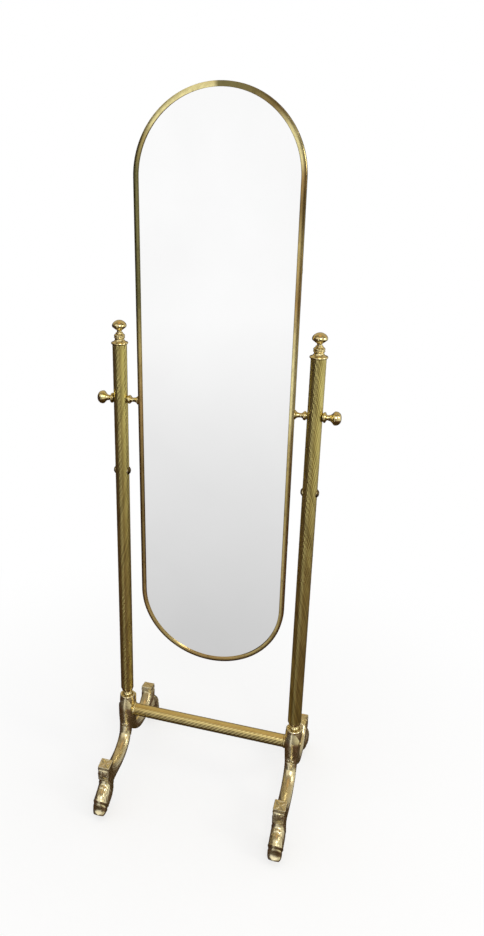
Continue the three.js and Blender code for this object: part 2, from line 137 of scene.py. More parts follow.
# Tarnish: brass without lacquer goes from polished to olive and brown in soft patches.
def makeTarnish():
    group, source = newGroup("tarnish", [
        ("Polished", "Color", hexColour("d2b266")),
        ("Worn", "Color", hexColour("9a8246")),
        ("Brown", "Color", hexColour("5a4526")),
        ("Patch Size", "Float", 30.0),
        ("Amount", "Float", 0.5),
        ("Stretch", "Vector", (1, 1, 1)),
    ], [("Colour", "Color"), ("Mask", "Float")])
    place = stretched(group, objectPlace(group), source["Stretch"])
    broad = noiseNode(group, place, source["Patch Size"], 4, 0.62, 0.4)
    fineScale = mathNode(group, "MULTIPLY", source["Patch Size"], 7.0)
    fine = noiseNode(group, place, fineScale, 5, 0.7)
    both = mathNode(group, "MULTIPLY_ADD", fine, 0.35, mathNode(group, "MULTIPLY", broad, 0.75))
    more = mathNode(group, "MULTIPLY_ADD", source["Amount"], 0.5, -0.28)
    shifted = mathNode(group, "ADD", both, more)
    mask = rangeNode(group, shifted, 0.38, 0.74)
    deep = rangeNode(group, shifted, 0.56, 0.9)
    worn = mixColours(group, mask, source["Polished"], source["Worn"])
    addNode(group, "NodeGroupOutput", {
        "Colour": mixColours(group, deep, worn, source["Brown"]), "Mask": mask})
    return group


# Polish lines: fine scratches left by a mop or a lathe, drawn out along one direction.
def makePolishLines():
    group, source = newGroup("polishLines", [
        ("Fineness", "Float", 900.0),
        ("Stretch", "Vector", (1, 1, 0.03)),
    ], [("Height", "Float"), ("Scuff", "Float")])
    place = objectPlace(group)
    drawn = stretched(group, place, source["Stretch"])
    smears = noiseNode(group, place, 45.0, 5, 0.65, 0.8)
    addNode(group, "NodeGroupOutput", {
        "Height": noiseNode(group, drawn, source["Fineness"], 3, 0.6),
        "Scuff": rangeNode(group, smears, 0.42, 0.7)})
    return group


# Rubbed edges and highlights: high edges are worn bright and painted lighter still as a
# highlight, hollows hold old polish and dirt.
def makeRubbingAndHighlights():
    group, source = newGroup("rubbedEdgesAndHighlights", [
        ("Colour", "Color", hexColour("8a7440")),
        ("Edge", "Color", hexColour("e6cc84")),
        ("Hollow", "Color", hexColour("2e2210")),
        ("Edge Strength", "Float", 0.6),
        ("Hollow Strength", "Float", 0.7),
    ], [("Colour", "Color")])
    point = addNode(group, "ShaderNodeNewGeometry").outputs["Pointiness"]
    grit = noiseNode(group, objectPlace(group), 160.0, 4, 0.7)
    patchy = mathNode(group, "MULTIPLY_ADD", grit, 1.2, 0.25, clamp=True)
    colour = source["Colour"]
    for kind, start, end in (("Hollow", 0.49, 0.42), ("Edge", 0.515, 0.58)):
        part = mathNode(group, "MULTIPLY", rangeNode(group, point, start, end), patchy)
        part = mathNode(group, "MULTIPLY", part, source[f"{kind} Strength"])
        colour = mixColours(group, part, colour, source[kind])
    addNode(group, "NodeGroupOutput", {"Colour": colour})
    return group


tarnish = makeTarnish()
polishLines = makePolishLines()
rubbedEdgesAndHighlights = makeRubbingAndHighlights()


def placeGroup(tree, group, **values):
    inputs = {key.replace("_", " "): value for key, value in values.items()}
    return addNode(tree, "ShaderNodeGroup", inputs, node_tree=group).outputs


def newMaterial(name, roughness=0.3, metallic=1.0):
    material = bpy.data.materials.new(name)
    material.use_nodes = True
    tree = material.node_tree
    shader = tree.nodes["Principled BSDF"]
    shader.inputs["Metallic"].default_value = metallic
    shader.inputs["Roughness"].default_value = roughness
    return material, tree, shader


def finishShader(tree, shader, colour, scuff, roughness, height, bump, strength=1.0):
    # colour, roughness between two values, and a bump of the given depth in metres
    tree.links.new(colour, shader.inputs["Base Color"])
    spread = rangeNode(tree, scuff, 0, 1, *roughness, smooth=False)
    tree.links.new(spread, shader.inputs["Roughness"])
    if height:
        made = addNode(tree, "ShaderNodeBump", {
            "Height": height, "Distance": bump, "Strength": strength})
        tree.links.new(made.outputs[0], shader.inputs["Normal"])


# edge is the rubbed edges' colour, lightened as a painted highlight; hollow is old polish and
# dirt
brassFinishes = {
    "reededBrass": dict(
        polished="f2e494", worn="e2d07e", brown="bca45c", size=7.0, amount=0.40,
        stretch=(1, 1, 0.25), edge="e8dc9c", hollow="a08c54", edgeStrength=0.2,
        hollowStrength=0.3, dullAndShade="604e2c", fineness=900.0, lines=(1, 1, 0.03),
        roughness=(0.27, 0.38), bump=0.000006),
    "ropeBrass": dict(
        polished="fae8a4", worn="e0c680", brown="b4904e", size=9.0, amount=0.42,
        stretch=(0.3, 1, 1), edge="f0e098", hollow="6a4c20", edgeStrength=0.4, hollowStrength=0.6,
        dullAndShade="5c4620", fineness=900.0, lines=(0.05, 1, 1), roughness=(0.30, 0.40), bump=0.000008),
    "castBrass": dict(
        polished="f2e8c4", worn="ccba8a", brown="846c40", size=20.0, amount=0.42,
        stretch=(1, 1, 1), edge="fff6d8", hollow="241a0c", edgeStrength=0.5, hollowStrength=0.55,
        fineness=420.0, lines=(1, 1, 1), roughness=(0.22, 0.38), bump=0.00002),
    "turnedBrass": dict(
        polished="ecdeac", worn="c6b07a", brown="846a3c", size=30.0, amount=0.34,
        stretch=(1, 1, 1), edge="fff0c8", hollow="2c200e", edgeStrength=0.5, hollowStrength=0.75,
        fineness=1100.0, lines=(0.4, 0.4, 1), roughness=(0.08, 0.20), bump=0.000006),
    # the plugs are dark, and their cream edge is a painted highlight rim
    "plugBrass": dict(
        polished="6c5a38", worn="48391f", brown="20180c", size=60.0, amount=0.5,
        stretch=(1, 1, 1), edge="f4e4b4", hollow="0e0a06", edgeStrength=1.0, hollowStrength=0.9,
        fineness=900.0, lines=(1, 1, 1), roughness=(0.16, 0.30), bump=0.00001),
}
# knobs, spacers and collars are turned about the other axis, so their lathe lines lie across
brassFinishes["knobBrass"] = dict(brassFinishes["turnedBrass"], lines=(1, 0.4, 0.4))


def makeBrass(name, look):
    material, tree, shader = newMaterial(name)
    tone = placeGroup(
        tree, tarnish, Polished=hexColour(look["polished"]), Worn=hexColour(look["worn"]),
        Brown=hexColour(look["brown"]), Patch_Size=look["size"], Amount=look["amount"],
        Stretch=look["stretch"])
    colour = placeGroup(
        tree, rubbedEdgesAndHighlights, Colour=tone["Colour"], Edge=hexColour(look["edge"]),
        Hollow=hexColour(look["hollow"]), Edge_Strength=look["edgeStrength"],
        Hollow_Strength=look["hollowStrength"])["Colour"]
    if "dullAndShade" in look:
        # how dull each point of a reeded tube is, and on the stretcher its painted shade, comes
        # with its mesh
        dullAndShade = addNode(tree, "ShaderNodeAttribute", attribute_name="dullAndShade").outputs["Fac"]
        colour = mixColours(tree, dullAndShade, colour, hexColour(look["dullAndShade"]))
    lines = placeGroup(tree, polishLines, Fineness=look["fineness"], Stretch=look["lines"])
    scuff = mathNode(tree, "MULTIPLY_ADD", tone["Mask"], 0.45,
                     mathNode(tree, "MULTIPLY", lines["Scuff"], 0.55), clamp=True)
    finishShader(tree, shader, colour, scuff, look["roughness"], lines["Height"], look["bump"])
    return material


bandLook = {
    "cloud": 0.2, "cloudColour": "2c2010", "cloudSize": 6.0,
    "edge": "dcc684", "hollow": "3c3018", "edgeStrength": 0.12, "hollowStrength": 0.25,
    "fineness": 500.0, "lines": (1, 1, 0.03), "roughness": (0.16, 0.28), "bump": 0.000006,
}


def makeBandBrass(look):
    # the band's tone, tarnish with painted reflection and highlight, changes along its length,
    # and comes with its mesh
    material, tree, shader = newMaterial("bandBrass")
    toneAndReflection = addNode(tree, "ShaderNodeAttribute", attribute_name="toneAndReflection").outputs["Color"]
    grain = placeGroup(tree, polishLines, Fineness=look["fineness"], Stretch=look["lines"])
    cloud = placeGroup(tree, tarnish, Patch_Size=look["cloudSize"], Amount=0.5)
    share = mathNode(tree, "MULTIPLY", cloud["Mask"], look["cloud"])
    dulled = mixColours(tree, share, toneAndReflection, hexColour(look["cloudColour"]))
    rubbed = placeGroup(
        tree, rubbedEdgesAndHighlights, Colour=dulled, Edge=hexColour(look["edge"]),
        Hollow=hexColour(look["hollow"]), Edge_Strength=look["edgeStrength"],
        Hollow_Strength=look["hollowStrength"])
    finishShader(tree, shader, rubbed["Colour"], grain["Scuff"], look["roughness"],
                 grain["Height"], look["bump"])
    return material


glassLook = {"silver": [(0.35, 0.94), (0.65, 0.97)], "roughness": (0.012, 0.045)}


def makeGlass(look):
    material, tree, shader = newMaterial("silveredGlass")
    place = objectPlace(tree)
    colour = rampNode(tree, noiseNode(tree, place, 3.2, 3, 0.5, 0.3), look["silver"])
    wiped = noiseNode(tree, place, 14.0, 5, 0.6, 1.2)
    finishShader(tree, shader, colour, wiped, look["roughness"], None, 0)
    return material


boardLook = {
    "fibre": [(0.3, "4a3320"), (0.5, "6e4d31"), (0.72, "8f6a47")],
    "patch": [(0.35, "5a4029"), (0.65, "7d5a3a")], "patchShare": 0.55,
    "weave": 160.0, "fibreHeight": 0.6, "roughness": (0.7, 0.88),
    "bump": 0.0003, "strength": 0.7,
}


def makeHardboard(look):
    material, tree, shader = newMaterial("hardboard", metallic=0.0)
    shader.inputs["Specular IOR Level"].default_value = 0.3
    place = objectPlace(tree)
    fibres = noiseNode(tree, place, 260.0, 6, 0.75, 1.6)
    patches = noiseNode(tree, place, 9.0, 4)
    colour = mixColours(tree, look["patchShare"], rampNode(tree, fibres, look["fibre"]),
                        rampNode(tree, patches, look["patch"]))
    # the screen side of the board: a fine square mesh is pressed into it
    weave, cross = (
        addNode(tree, "ShaderNodeTexWave", {
            "Vector": place, "Scale": look["weave"], "Distortion": 0.6}, bands_direction=axis)
        for axis in ("X", "Z"))
    pressed = mathNode(tree, "MULTIPLY", weave.outputs["Fac"], cross.outputs["Fac"])
    height = mathNode(tree, "MULTIPLY_ADD", fibres, look["fibreHeight"], pressed)
    finishShader(tree, shader, colour, patches, look["roughness"], height, look["bump"],
                 look["strength"])
    return material


steelLook = {
    "zinc": [(0.35, "85837c"), (0.65, "b4b3ad")], "fineness": 800.0, "roughness": (0.24, 0.46),
    "bump": 0.000008,
}


def makeSteel(look):
    material, tree, shader = newMaterial("zincSteel")
    grain = placeGroup(tree, polishLines, Fineness=look["fineness"], Stretch=(1, 1, 1))
    colour = rampNode(tree, noiseNode(tree, objectPlace(tree), 120.0, 4), look["zinc"])
    finishShader(tree, shader, colour, grain["Scuff"], look["roughness"], grain["Height"],
                 look["bump"])
    return material


materials = {name: makeBrass(name, look) for name, look in brassFinishes.items()}
materials["bandBrass"] = makeBandBrass(bandLook)
materials["silveredGlass"] = makeGlass(glassLook)
materials["hardboard"] = makeHardboard(boardLook)
materials["zincSteel"] = makeSteel(steelLook)

print("materials made")


# A shape is (points, faces) in millimetres; it becomes a mesh in metres in meshFrom.
def meshFrom(shape):
    verts, faces = shape
    mesh = bpy.data.meshes.new("work")
    mesh.from_pydata((np.asarray(verts, float) * mm).tolist(), [], faces)
    return faceOutwards(mesh)


def faceOutwards(mesh):
    work = bmesh.new()
    work.from_mesh(mesh)
    bmesh.ops.recalc_face_normals(work, faces=work.faces)
    if work.calc_volume(signed=True) < 0:
        bmesh.ops.reverse_faces(work, faces=work.faces)
    work.to_mesh(mesh)
    work.free()
    return mesh


def addObject(name, data):
    thing = bpy.data.objects.new(name, data)
    bpy.context.scene.collection.objects.link(thing)
    return thing


def dressPiece(mesh, name, body, finish, node, sharp=30):
    # smooths the mesh, keeps edges over sharp degrees crisp, gives it its finish,
    # and lets it stand for its CAD node
    mesh.name = name
    mesh.validate()
    faceOutwards(mesh)
    mesh.polygons.foreach_set("use_smooth", [True] * len(mesh.polygons))
    mesh.set_sharp_from_angle(angle=math.radians(sharp))
    mesh.materials.clear()
    mesh.materials.append(materials[finish])
    piece = addObject(name, mesh)
    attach(piece, body)
    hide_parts(node)
    return piece


def newPiece(name, shape, body, finish, node, sharp=32):
    return dressPiece(meshFrom(shape), name, body, finish, node, sharp)


def centreOf(node):
    low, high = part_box(node)
    return (low + high) / 2 / mm


def spanOf(node, axis):
    # where a node starts and ends along one axis, in millimetres
    return [getattr(corner, axis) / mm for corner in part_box(node)]


def outwards(node):
    # how far out from the middle a node starts and ends
    return sorted(abs(value) for value in spanOf(node, "x"))


# A path of [a, b] points; four numbers are a curve through a control point.
def tracePath(points, steps=7):
    path = [tuple(points[0])]
    for point in points[1:]:
        if len(point) == 2:
            path.append(tuple(point))
            continue
        start, control, end = path[-1], point[:2], point[2:]
        for i in range(1, steps + 1):
            t = i / steps
            path.append(tuple(
                (1 - t) ** 2 * a + 2 * t * (1 - t) * b + t * t * c
                for a, b, c in zip(start, control, end)))
    return path


# Every corner sharper than about 20 degrees is rounded off a little.
def softenCorners(path, radius, closed=False):
    if not radius:
        return list(path)
    out = []
    count = len(path)
    for i, here in enumerate(path):
        if not closed and i in (0, count - 1):
            out.append(here)
            continue
        before, after = Vector(path[i - 1]), Vector(path[(i + 1) % count])
        corner = Vector(here)
        into, away = corner - before, after - corner
        if into.length < 1e-6 or away.length < 1e-6 or into.angle(away) < 0.35:
            out.append(here)
            continue
        reach = min(radius, 0.4 * into.length, 0.4 * away.length)
        first = corner - into.normalized() * reach
        last = corner + away.normalized() * reach
        for t in (0, 0.33, 0.67, 1):
            spot = first * (1 - t) ** 2 + corner * 2 * t * (1 - t) + last * t * t
            out.append(tuple(spot))
    return out


def joinRings(count, pairs):
    # faces between pairs of rings, each ring being the next so many points of a shape
    faces = []
    for below, above in pairs:
        low, high = below * count, above * count
        for k in range(count):
            n = (k + 1) % count
            faces.append([low + k, low + n, high + n, high + k])
    return faces


def ringFaces(count, rings, closed=False, capped=False):
    # faces along a row of rings; a closed row ends where it starts
    pairs = [(i, i + 1) for i in range(rings - 1)]
    faces = joinRings(count, pairs + [(rings - 1, 0)] if closed else pairs)
    if capped:
        faces.append(list(range(count)))
        faces.append(list(range((rings - 1) * count, rings * count))[::-1])
    return faces


# A turned shape about +Z from [radius, height] points; a closed path makes a bored ring.
def turnShape(points, segments=96, soft=0.3):
    closed = tuple(points[0]) == tuple(points[-1][-2:])
    path = tracePath(points)
    if closed:
        path = path[:-1]
    path = softenCorners(path, soft, closed)
    verts, rings, faces = [], [], []
    for radius, height in path:
        if radius < 1e-6:
            rings.append([len(verts)])
            verts.append((0, 0, height))
            continue
        rings.append(list(range(len(verts), len(verts) + segments)))
        for k in range(segments):
            a = 2 * math.pi * k / segments
            verts.append((radius * math.cos(a), radius * math.sin(a), height))
    pairs = list(zip(rings, rings[1:]))
    if closed:
        pairs.append((rings[-1], rings[0]))
    for low, high in pairs:
        for k in range(segments):
            n = (k + 1) % segments
            corners = (low[k % len(low)], low[n % len(low)], high[n % len(high)],
                       high[k % len(high)])
            unique = list(dict.fromkeys(corners))
            if len(unique) > 2:
                faces.append(unique)
    return np.array(verts, float), faces


def moved(shape, x=0, y=0, z=0):
    return shape[0] + np.array([x, y, z]), shape[1]


def alongX(shape, hand=1):
    # a shape about +Z is laid along +X, or along -X for the left-hand side
    x, y, z = shape[0].T
    return np.stack([hand * z, hand * y, -x], axis=1), shape[1]


def alongY(shape, hand=1):
    x, y, z = shape[0].T
    return np.stack([hand * x, hand * z, -y], axis=1), shape[1]


def leanMirror(shape):
    # from the mirror's own upright frame, with the pivot at its origin, to where it leans
    x, y, z = shape[0].T
    c, s = math.cos(mirrorLean), math.sin(mirrorLean)
    verts = np.stack([x + pivot.x, c * y - s * z + pivot.y, s * y + c * z + pivot.z], axis=1)
    return verts, shape[1]


def applyAll(body, *helpers):
    graph = bpy.context.evaluated_depsgraph_get()
    done = bpy.data.meshes.new_from_object(body.evaluated_get(graph))
    for thing in (body, *helpers):
        bpy.data.objects.remove(thing)
    return done


def boolean(first, second, operation):
    # the exact solver can lose a whole piece where faces happen to lie in one plane,
    # so the second piece is nudged by a few microns and tried again
    for nudge in (0, 0.013, -0.021, 0.037, -0.046):
        shifted = second.copy()
        shifted.transform(Matrix.Translation((nudge * mm, nudge * 0.7 * mm, nudge * 1.3 * mm)))
        body, tool = addObject("part", first.copy()), addObject("part", shifted)
        step = body.modifiers.new("op", "BOOLEAN")
        step.operation = operation
        step.solver = "EXACT"
        step.object = tool
        done = applyAll(body, tool)
        if done.vertices:
            return done
    raise ValueError(f"{operation} left nothing of a piece")


def cutHoles(mesh, *drills):
    # the drills are shapes, and are cut together
    verts, faces = [], []
    for drillVerts, drillFaces in drills:
        faces += [[i + len(verts) for i in face] for face in drillFaces]
        verts += list(drillVerts)
    return boolean(mesh, meshFrom((verts, faces)), "DIFFERENCE")


def bevelMesh(mesh, width, segments=3, angle=35):
    thing = addObject("part", mesh)
    step = thing.modifiers.new("bevel", "BEVEL")
    step.width = width * mm
    step.segments = segments
    step.limit_method = "ANGLE"
    step.angle_limit = math.radians(angle)
    return applyAll(thing)


def drill(radius, length, segments=48):
    half = length / 2
    return turnShape([[0, -half], [radius, -half], [radius, half], [0, half]], segments, 0)


def boxShape(size, centre=(0, 0, 0)):
    corners = [[s * size[i] / 2 + centre[i] for i, s in enumerate((x, y, z))]
               for x in (-1, 1) for y in (-1, 1) for z in (-1, 1)]
    faces = [[0, 1, 3, 2], [4, 6, 7, 5], [0, 4, 5, 1], [2, 3, 7, 6], [0, 2, 6, 4], [1, 5, 7, 3]]
    return np.array(corners, float), faces


# An outline in (a, b) is stretched from low to high; axes say where a, b and the stretch go.
frontOn, sideOn = [0, 2, 1], [2, 0, 1]


def prism(outline, low, high, axes=(0, 1, 2)):
    verts = [(a, b, c) for c in (low, high) for a, b in outline]
    return np.array(verts, float)[:, axes], ringFaces(len(outline), 2, capped=True)


def readMesh(mesh, key="co"):
    values = np.empty(len(mesh.vertices) * 3)
    mesh.vertices.foreach_get(key, values)
    return values.reshape(-1, 3)


postLook = {
    "flutes": 24, "lead": 330.0, "depth": 0.24, "around": 8, "along": 150, "boreRings": 24,
    "grooveDull": 0.16, "reedDull": 0.42, "dullSteps": 9, "seed": {"left": 21, "right": 34},
    "wall": 2.0, "plugHole": 6.15,
}


def spiralTube(radius, low, high, look, hand):
    # the mesh lines follow the spiral, so its flutes stay crisp with few rings
    count = look["flutes"] * look["around"]
    verts = []

    def addRing(z, base, depth):
        for k in range(count):
            r = base - depth * (0.5 - 0.5 * math.cos(2 * math.pi * k / look["around"]))
            a = 2 * math.pi * (k / count + hand * z / look["lead"])
            verts.append((r * math.cos(a), r * math.sin(a), z))

    along, bands = look["along"], look["boreRings"]
    for i in range(along + 1):
        z = low + (high - low) * i / along
        # the reeding dies out close to both cut ends
        addRing(z, radius, look["depth"] * min(1.0, (z - low + 0.5) / 3, (high - z + 0.5) / 3))
    for i in range(bands + 1):
        addRing(low + (high - low) * i / bands, radius - look["wall"], 0)
    # the outside and the bore, each along its own rings, then the two cut ends
    last = along + 1 + bands
    pairs = [(i, i + 1) for i in range(last) if i != along] + [(0, along + 1), (along, last)]
    return np.array(verts, float), joinRings(count, pairs)


# How dull a reeded tube is: its grooves hold old polish, and its reeds are worn unevenly.
def dullOf(points, radius, hand, look, seed):
    x, y, z = points.T
    reeds, steps = look["flutes"], look["dullSteps"]
    turn = np.arctan2(y, x) / (2 * math.pi) - hand * z / look["lead"]
    reed = np.mod(np.rint(turn * reeds), reeds).astype(int)
    groove = np.clip((radius - np.hypot(x, y)) / look["depth"], 0, 1)
    tones = np.random.default_rng(seed).random((reeds, steps + 1))
    along = z - z.min()
    along *= (steps - 1e-6) / along.max()
    step = along.astype(int)
    part = along - step
    tone = tones[reed, step] * (1 - part) + tones[reed, step + 1] * part
    return np.clip(look["grooveDull"] * groove + look["reedDull"] * tone ** 2, 0, 1)


def storeDullAndShade(mesh, values):
    layer = mesh.color_attributes.new("dullAndShade", "FLOAT_COLOR", "POINT")
    layer.data.foreach_set("color", np.repeat(np.asarray(values, float), 4))


def makePost(side, look):
    node, hand = f"{side}_post", -hands[side]
    low, high = spanOf(node, "z")
    left, right = spanOf(node, "x")
    x, radius = centreOf(node).x, (right - left) / 2
    mesh = meshFrom(moved(spiralTube(radius, low, high, look, hand), x))
    plugZ = centreOf(f"{side}_post_left_plug").z
    mesh = cutHoles(mesh, moved(alongX(drill(studHole, 80)), x, 0, pivot.z),
                    moved(alongX(drill(look["plugHole"], 80)), x, 0, plugZ))
    points = readMesh(mesh) / mm - np.array([x, 0, 0])
    storeDullAndShade(mesh, dullOf(points, radius, hand, look, look["seed"][side]))
    dressPiece(mesh, f"{side}_reeded_post", "stand", "reededBrass", node, 40)


for side in hands:
    makePost(side, postLook)
print("posts made")


finialLook = {
    "points": [
        [0, -26], [13.3, -26], [13.6, -25], [13.6, 0], [17.0, 0], [18.6, 1.8], [18.6, 2.8],
        [18.2, 4.0], [15.6, 4.6], [12.2, 6.0, 10.1, 10.5], [10.1, 12.6], [11.4, 13.4],
        [12.0, 14.6], [12.0, 15.6], [11.2, 16.4], [11.2, 17.4], [12.0, 18.2], [12.0, 19.6],
        [10.4, 21.8], [7.8, 22.6], [8.3, 24.0, 7.7, 25.4], [5.6, 26.6],
        [5.2, 28.2, 5.6, 30.5], [8.6, 32.4, 14.6, 37.2], [15.8, 38.6, 15.8, 40.2],
        [15.8, 44.4, 11.8, 47.8], [8.8, 50.4, 5.0, 51.8], [2.5, 52.4, 0, 52.4],
    ],
}

ferruleLook = {
    "sink": 29.0,  # how far below the post it starts
    "points": [
        [0, -19.7], [4, -19.7], [4, 0.3], [12.2, 0.3], [12.6, 0.9], [12.6, 1.5],
        [12.0, 2.5], [8.4, 3.6], [8.2, 4.4], [11.4, 6.4, 11.2, 9.6],
        [11.0, 13.0, 8.0, 14.6], [7.5, 15.4], [7.4, 19.4], [8.0, 21.6, 13.0, 22.4],
        [14.0, 23.2], [14.1, 24.2], [14.1, 26.0], [14.0, 27.2], [15.4, 28.7], [13.6, 28.7],
        [13.6, 52.7], [0, 52.7],
    ],
}

plugLook = {
    "points": [
        [0, 6.0], [8.8, 6.0], [9.0, 6.4], [9.0, 15.4], [8.8, 16.4], [7.8, 17.0],
        [7.2, 17.1], [6.4, 18.9, 3.4, 19.6], [1.7, 19.8, 0, 19.8],
    ],
    "shank": [[0, 10.9], [5.8, 10.9], [5.8, 16.9], [0, 16.9]],
    "saddle": 16.2,  # its seat on the round post
}


def makeTurned(side):
    x = centreOf(f"{side}_post").x
    foot, top = spanOf(f"{side}_post", "z")
    for name, node, look, z in (
            ("finial", "finial", finialLook, top + clearance),
            ("ferrule", "post_ferrule", ferruleLook, foot - ferruleLook["sink"])):
        newPiece(f"{side}_turned_{name}", moved(turnShape(look["points"]), x, 0, z), "stand",
                 "turnedBrass", f"{side}_{node}")


def makePlug(side, other, look):
    node = f"{side}_post_{other}_plug"
    x, z = centreOf(f"{side}_post").x, centreOf(node).z
    head, shank = (
        meshFrom(moved(alongX(shape, hands[other]), x, 0, z))
        for shape in (turnShape(look["points"], 72), turnShape(look["shank"], 48, 0.1)))
    saddle = cutHoles(head, moved(drill(look["saddle"], 60, 96), x, 0, z))
    dressPiece(boolean(saddle, shank, "UNION"), f"{side}_{other}_domed_plug", "stand",
               "plugBrass", node)


for side in hands:
    makeTurned(side)
    for other in hands:
        makePlug(side, other, plugLook)
print("finials, ferrules and plugs made")


def bell(value, width):
    return np.exp(-(value / width) ** 2)


def window(value, low, high, soft):
    # one between low and high, zero outside, with soft ends
    rise = np.clip((value - low) / soft, 0, 1)
    fall = np.clip((high - value) / soft, 0, 1)
    return (rise * rise * (3 - 2 * rise)) * (fall * fall * (3 - 2 * fall))


stretcherLook = {
    "flutes": 10, "lead": 104.0, "depth": 0.28, "around": 8, "along": 300, "boreRings": 24,
    "wall": 1.8, "grooveDull": 0.45, "reedDull": 0.2, "dullSteps": 6, "seed": 5,
    # painted shade over the front's brightest reflection, and painted shade in the lower grooves
    "highlightShade": 0.3, "highlightShadeAngle": 26.0, "highlightShadeSpread": 22.0,
    "shadeBelowFrom": 52.0, "shadeBelowSoft": 30.0, "upperShare": 0.2,
}

collarLook = {
    "height": 6.5,
    "points": [
        [studHole, -18], [13.3, -18], [13.3, 0], [15.4, 0], [16.4, 0.7], [17.0, 1.7],
        [17.0, 3.9], [16.3, 4.9], [15.0, 5.3], [14.6, 5.9], [14.6, 6.5], [studHole, 6.5],
        [studHole, -18],
    ],
}

boltLook = {
    "head": 3.6, "slot": (3.0, 1.2, 14.0), "slotOut": 0.3,
    "points": [
        [0, -50], [2.4, -50], [3, -49], [3, 0], [5.4, 0], [5.4, 0.9], [5.1, 2.2, 3.4, 3.1],
        [1.9, 3.6, 0, 3.6],
    ],
}

stretcherHeight = centreOf("stretcher_tube").z


def makeStretcher(look):
    foot, top = spanOf("stretcher_tube", "z")
    radius = (top - foot) / 2
    tube = spiralTube(radius, *spanOf("stretcher_tube", "x"), look, -1)
    laid = alongX(tube)
    rope = newPiece("rope_stretcher", moved(laid, z=stretcherHeight), "stand", "ropeBrass",
                    "stretcher_tube", 60)
    # painted shade dims the front where its reflection is brightest, and the grooves keep
    # their dirt mostly below it, where they are painted darker as shade
    facing = np.degrees(np.arctan2(laid[0][:, 2], -laid[0][:, 1]))
    face = bell(facing - look["highlightShadeAngle"], look["highlightShadeSpread"])
    below = np.clip((look["shadeBelowFrom"] - facing) / look["shadeBelowSoft"], 0, 1)
    dullAndShade = dullOf(tube[0], radius, -1, look, look["seed"])
    dullAndShade *= look["upperShare"] + (1 - look["upperShare"]) * below
    storeDullAndShade(rope.data, np.clip(dullAndShade + look["highlightShade"] * face, 0, 1))


def makeStretcherEnd(side):
    hand = hands[side]
    ring = outwards(f"stretcher_{side}_collar")[1] - collarLook["height"]
    collar = alongX(moved(turnShape(collarLook["points"]), z=ring), hand)
    newPiece(f"{side}_rope_collar", moved(collar, z=stretcherHeight), "stand", "knobBrass",
             f"stretcher_{side}_collar")
    tip = outwards(f"stretcher_{side}_bolt")[1]
    bolt = moved(turnShape(boltLook["points"], 64, 0.15), z=tip - boltLook["head"])
    slot = boxShape(boltLook["slot"], (hand * (tip + boltLook["slotOut"]), 0, stretcherHeight))
    mesh = cutHoles(meshFrom(moved(alongX(bolt, hand), z=stretcherHeight)), slot)
    dressPiece(mesh, f"{side}_stretcher_bolt", "stand", "knobBrass", f"stretcher_{side}_bolt")


makeStretcher(stretcherLook)
for side in hands:
    makeStretcherEnd(side)
print("stretcher made")


mirrorLook = {
    "width": 343.0, "height": 1285.0, "drop": 5.0, "lip": 10.5, "lipDepth": 2.2, "wall": 5.0,
    "depth": 11.0, "soft": 0.9, "arcSteps": 56, "runSteps": 60,
    "glass": 4.0, "glassEdge": 0.5, "boardEdge": 0.3, "studAt": 170.0, "clipHole": 1.65,
    "clipHeights": (300, -300),
}

# the band's tone changes along its length: olive and brown tarnish, with painted reflection
# and painted highlight where the arches and sides catch the light; the tone at a few heights
# over the pivot, up each side and on along the arches
bandToneAndReflection = {
    "paintedHighlight": "f8eaa8", "gold": "ccb678", "pale": "b8a468", "warm": "b0905a", "brown": "8c7446",
    "olive": "7c764c",
}

bandToneAndReflectionZones = {
    "left": [
        (-642, "warm"), (-610, "gold"), (-500, "warm"), (-380, "brown"), (-150, "brown"),
        (0, "warm"), (120, "pale"), (220, "olive"), (480, "olive"), (540, "pale"),
        (570, "paintedHighlight"), (630, "paintedHighlight"), (642, "gold")],
    "right": [
        (-642, "warm"), (-600, "gold"), (-340, "gold"), (-200, "pale"), (-80, "gold"),
        (0, "paintedHighlight"), (110, "paintedHighlight"), (230, "warm"), (340, "gold"), (410, "brown"),
        (470, "warm"), (505, "paintedHighlight"), (545, "paintedHighlight"), (590, "brown"), (642, "olive")],
}


def pillPath(width, height, arcSteps, runSteps):
    # (x, z, outward x, outward z), anticlockwise from the right-hand end of the top arch
    radius = width / 2
    straight = height / 2 - radius
    path = []
    for up in (1, -1):
        for i in range(arcSteps):
            a = math.pi * i / arcSteps + (0 if up > 0 else math.pi)
            c, s = math.cos(a), math.sin(a)
            path.append((radius * c, up * straight + radius * s, c, s))
        for i in range(runSteps):
            path.append((-up * radius, up * (straight - 2 * straight * i / runSteps), -up, 0))
    return path


def clipPlaces(look):
    # x, z and turn of the clips: top, bottom, then two on the left and two on the right
    half, wall, drop = look["height"] / 2, look["wall"], look["drop"]
    places = [(0, half - wall / 2 - drop, 0), (0, -half + wall / 2 - drop, math.pi)]
    for hand in (-1, 1):
        x = hand * (look["width"] - wall) / 2
        places += [(x, z - drop, hand * math.pi / 2) for z in look["clipHeights"]]
    return places


# the tone at a point of the band: tarnish, with painted reflection and highlight
def toneAndReflectionAt(x, z):
    zones = bandToneAndReflectionZones["left" if x < 0 else "right"]
    heights = [height for height, _ in zones]
    colours = np.array([hexColour(bandToneAndReflection[tone]) for _, tone in zones])
    return [float(np.interp(z, heights, colours[:, channel])) for channel in range(4)]


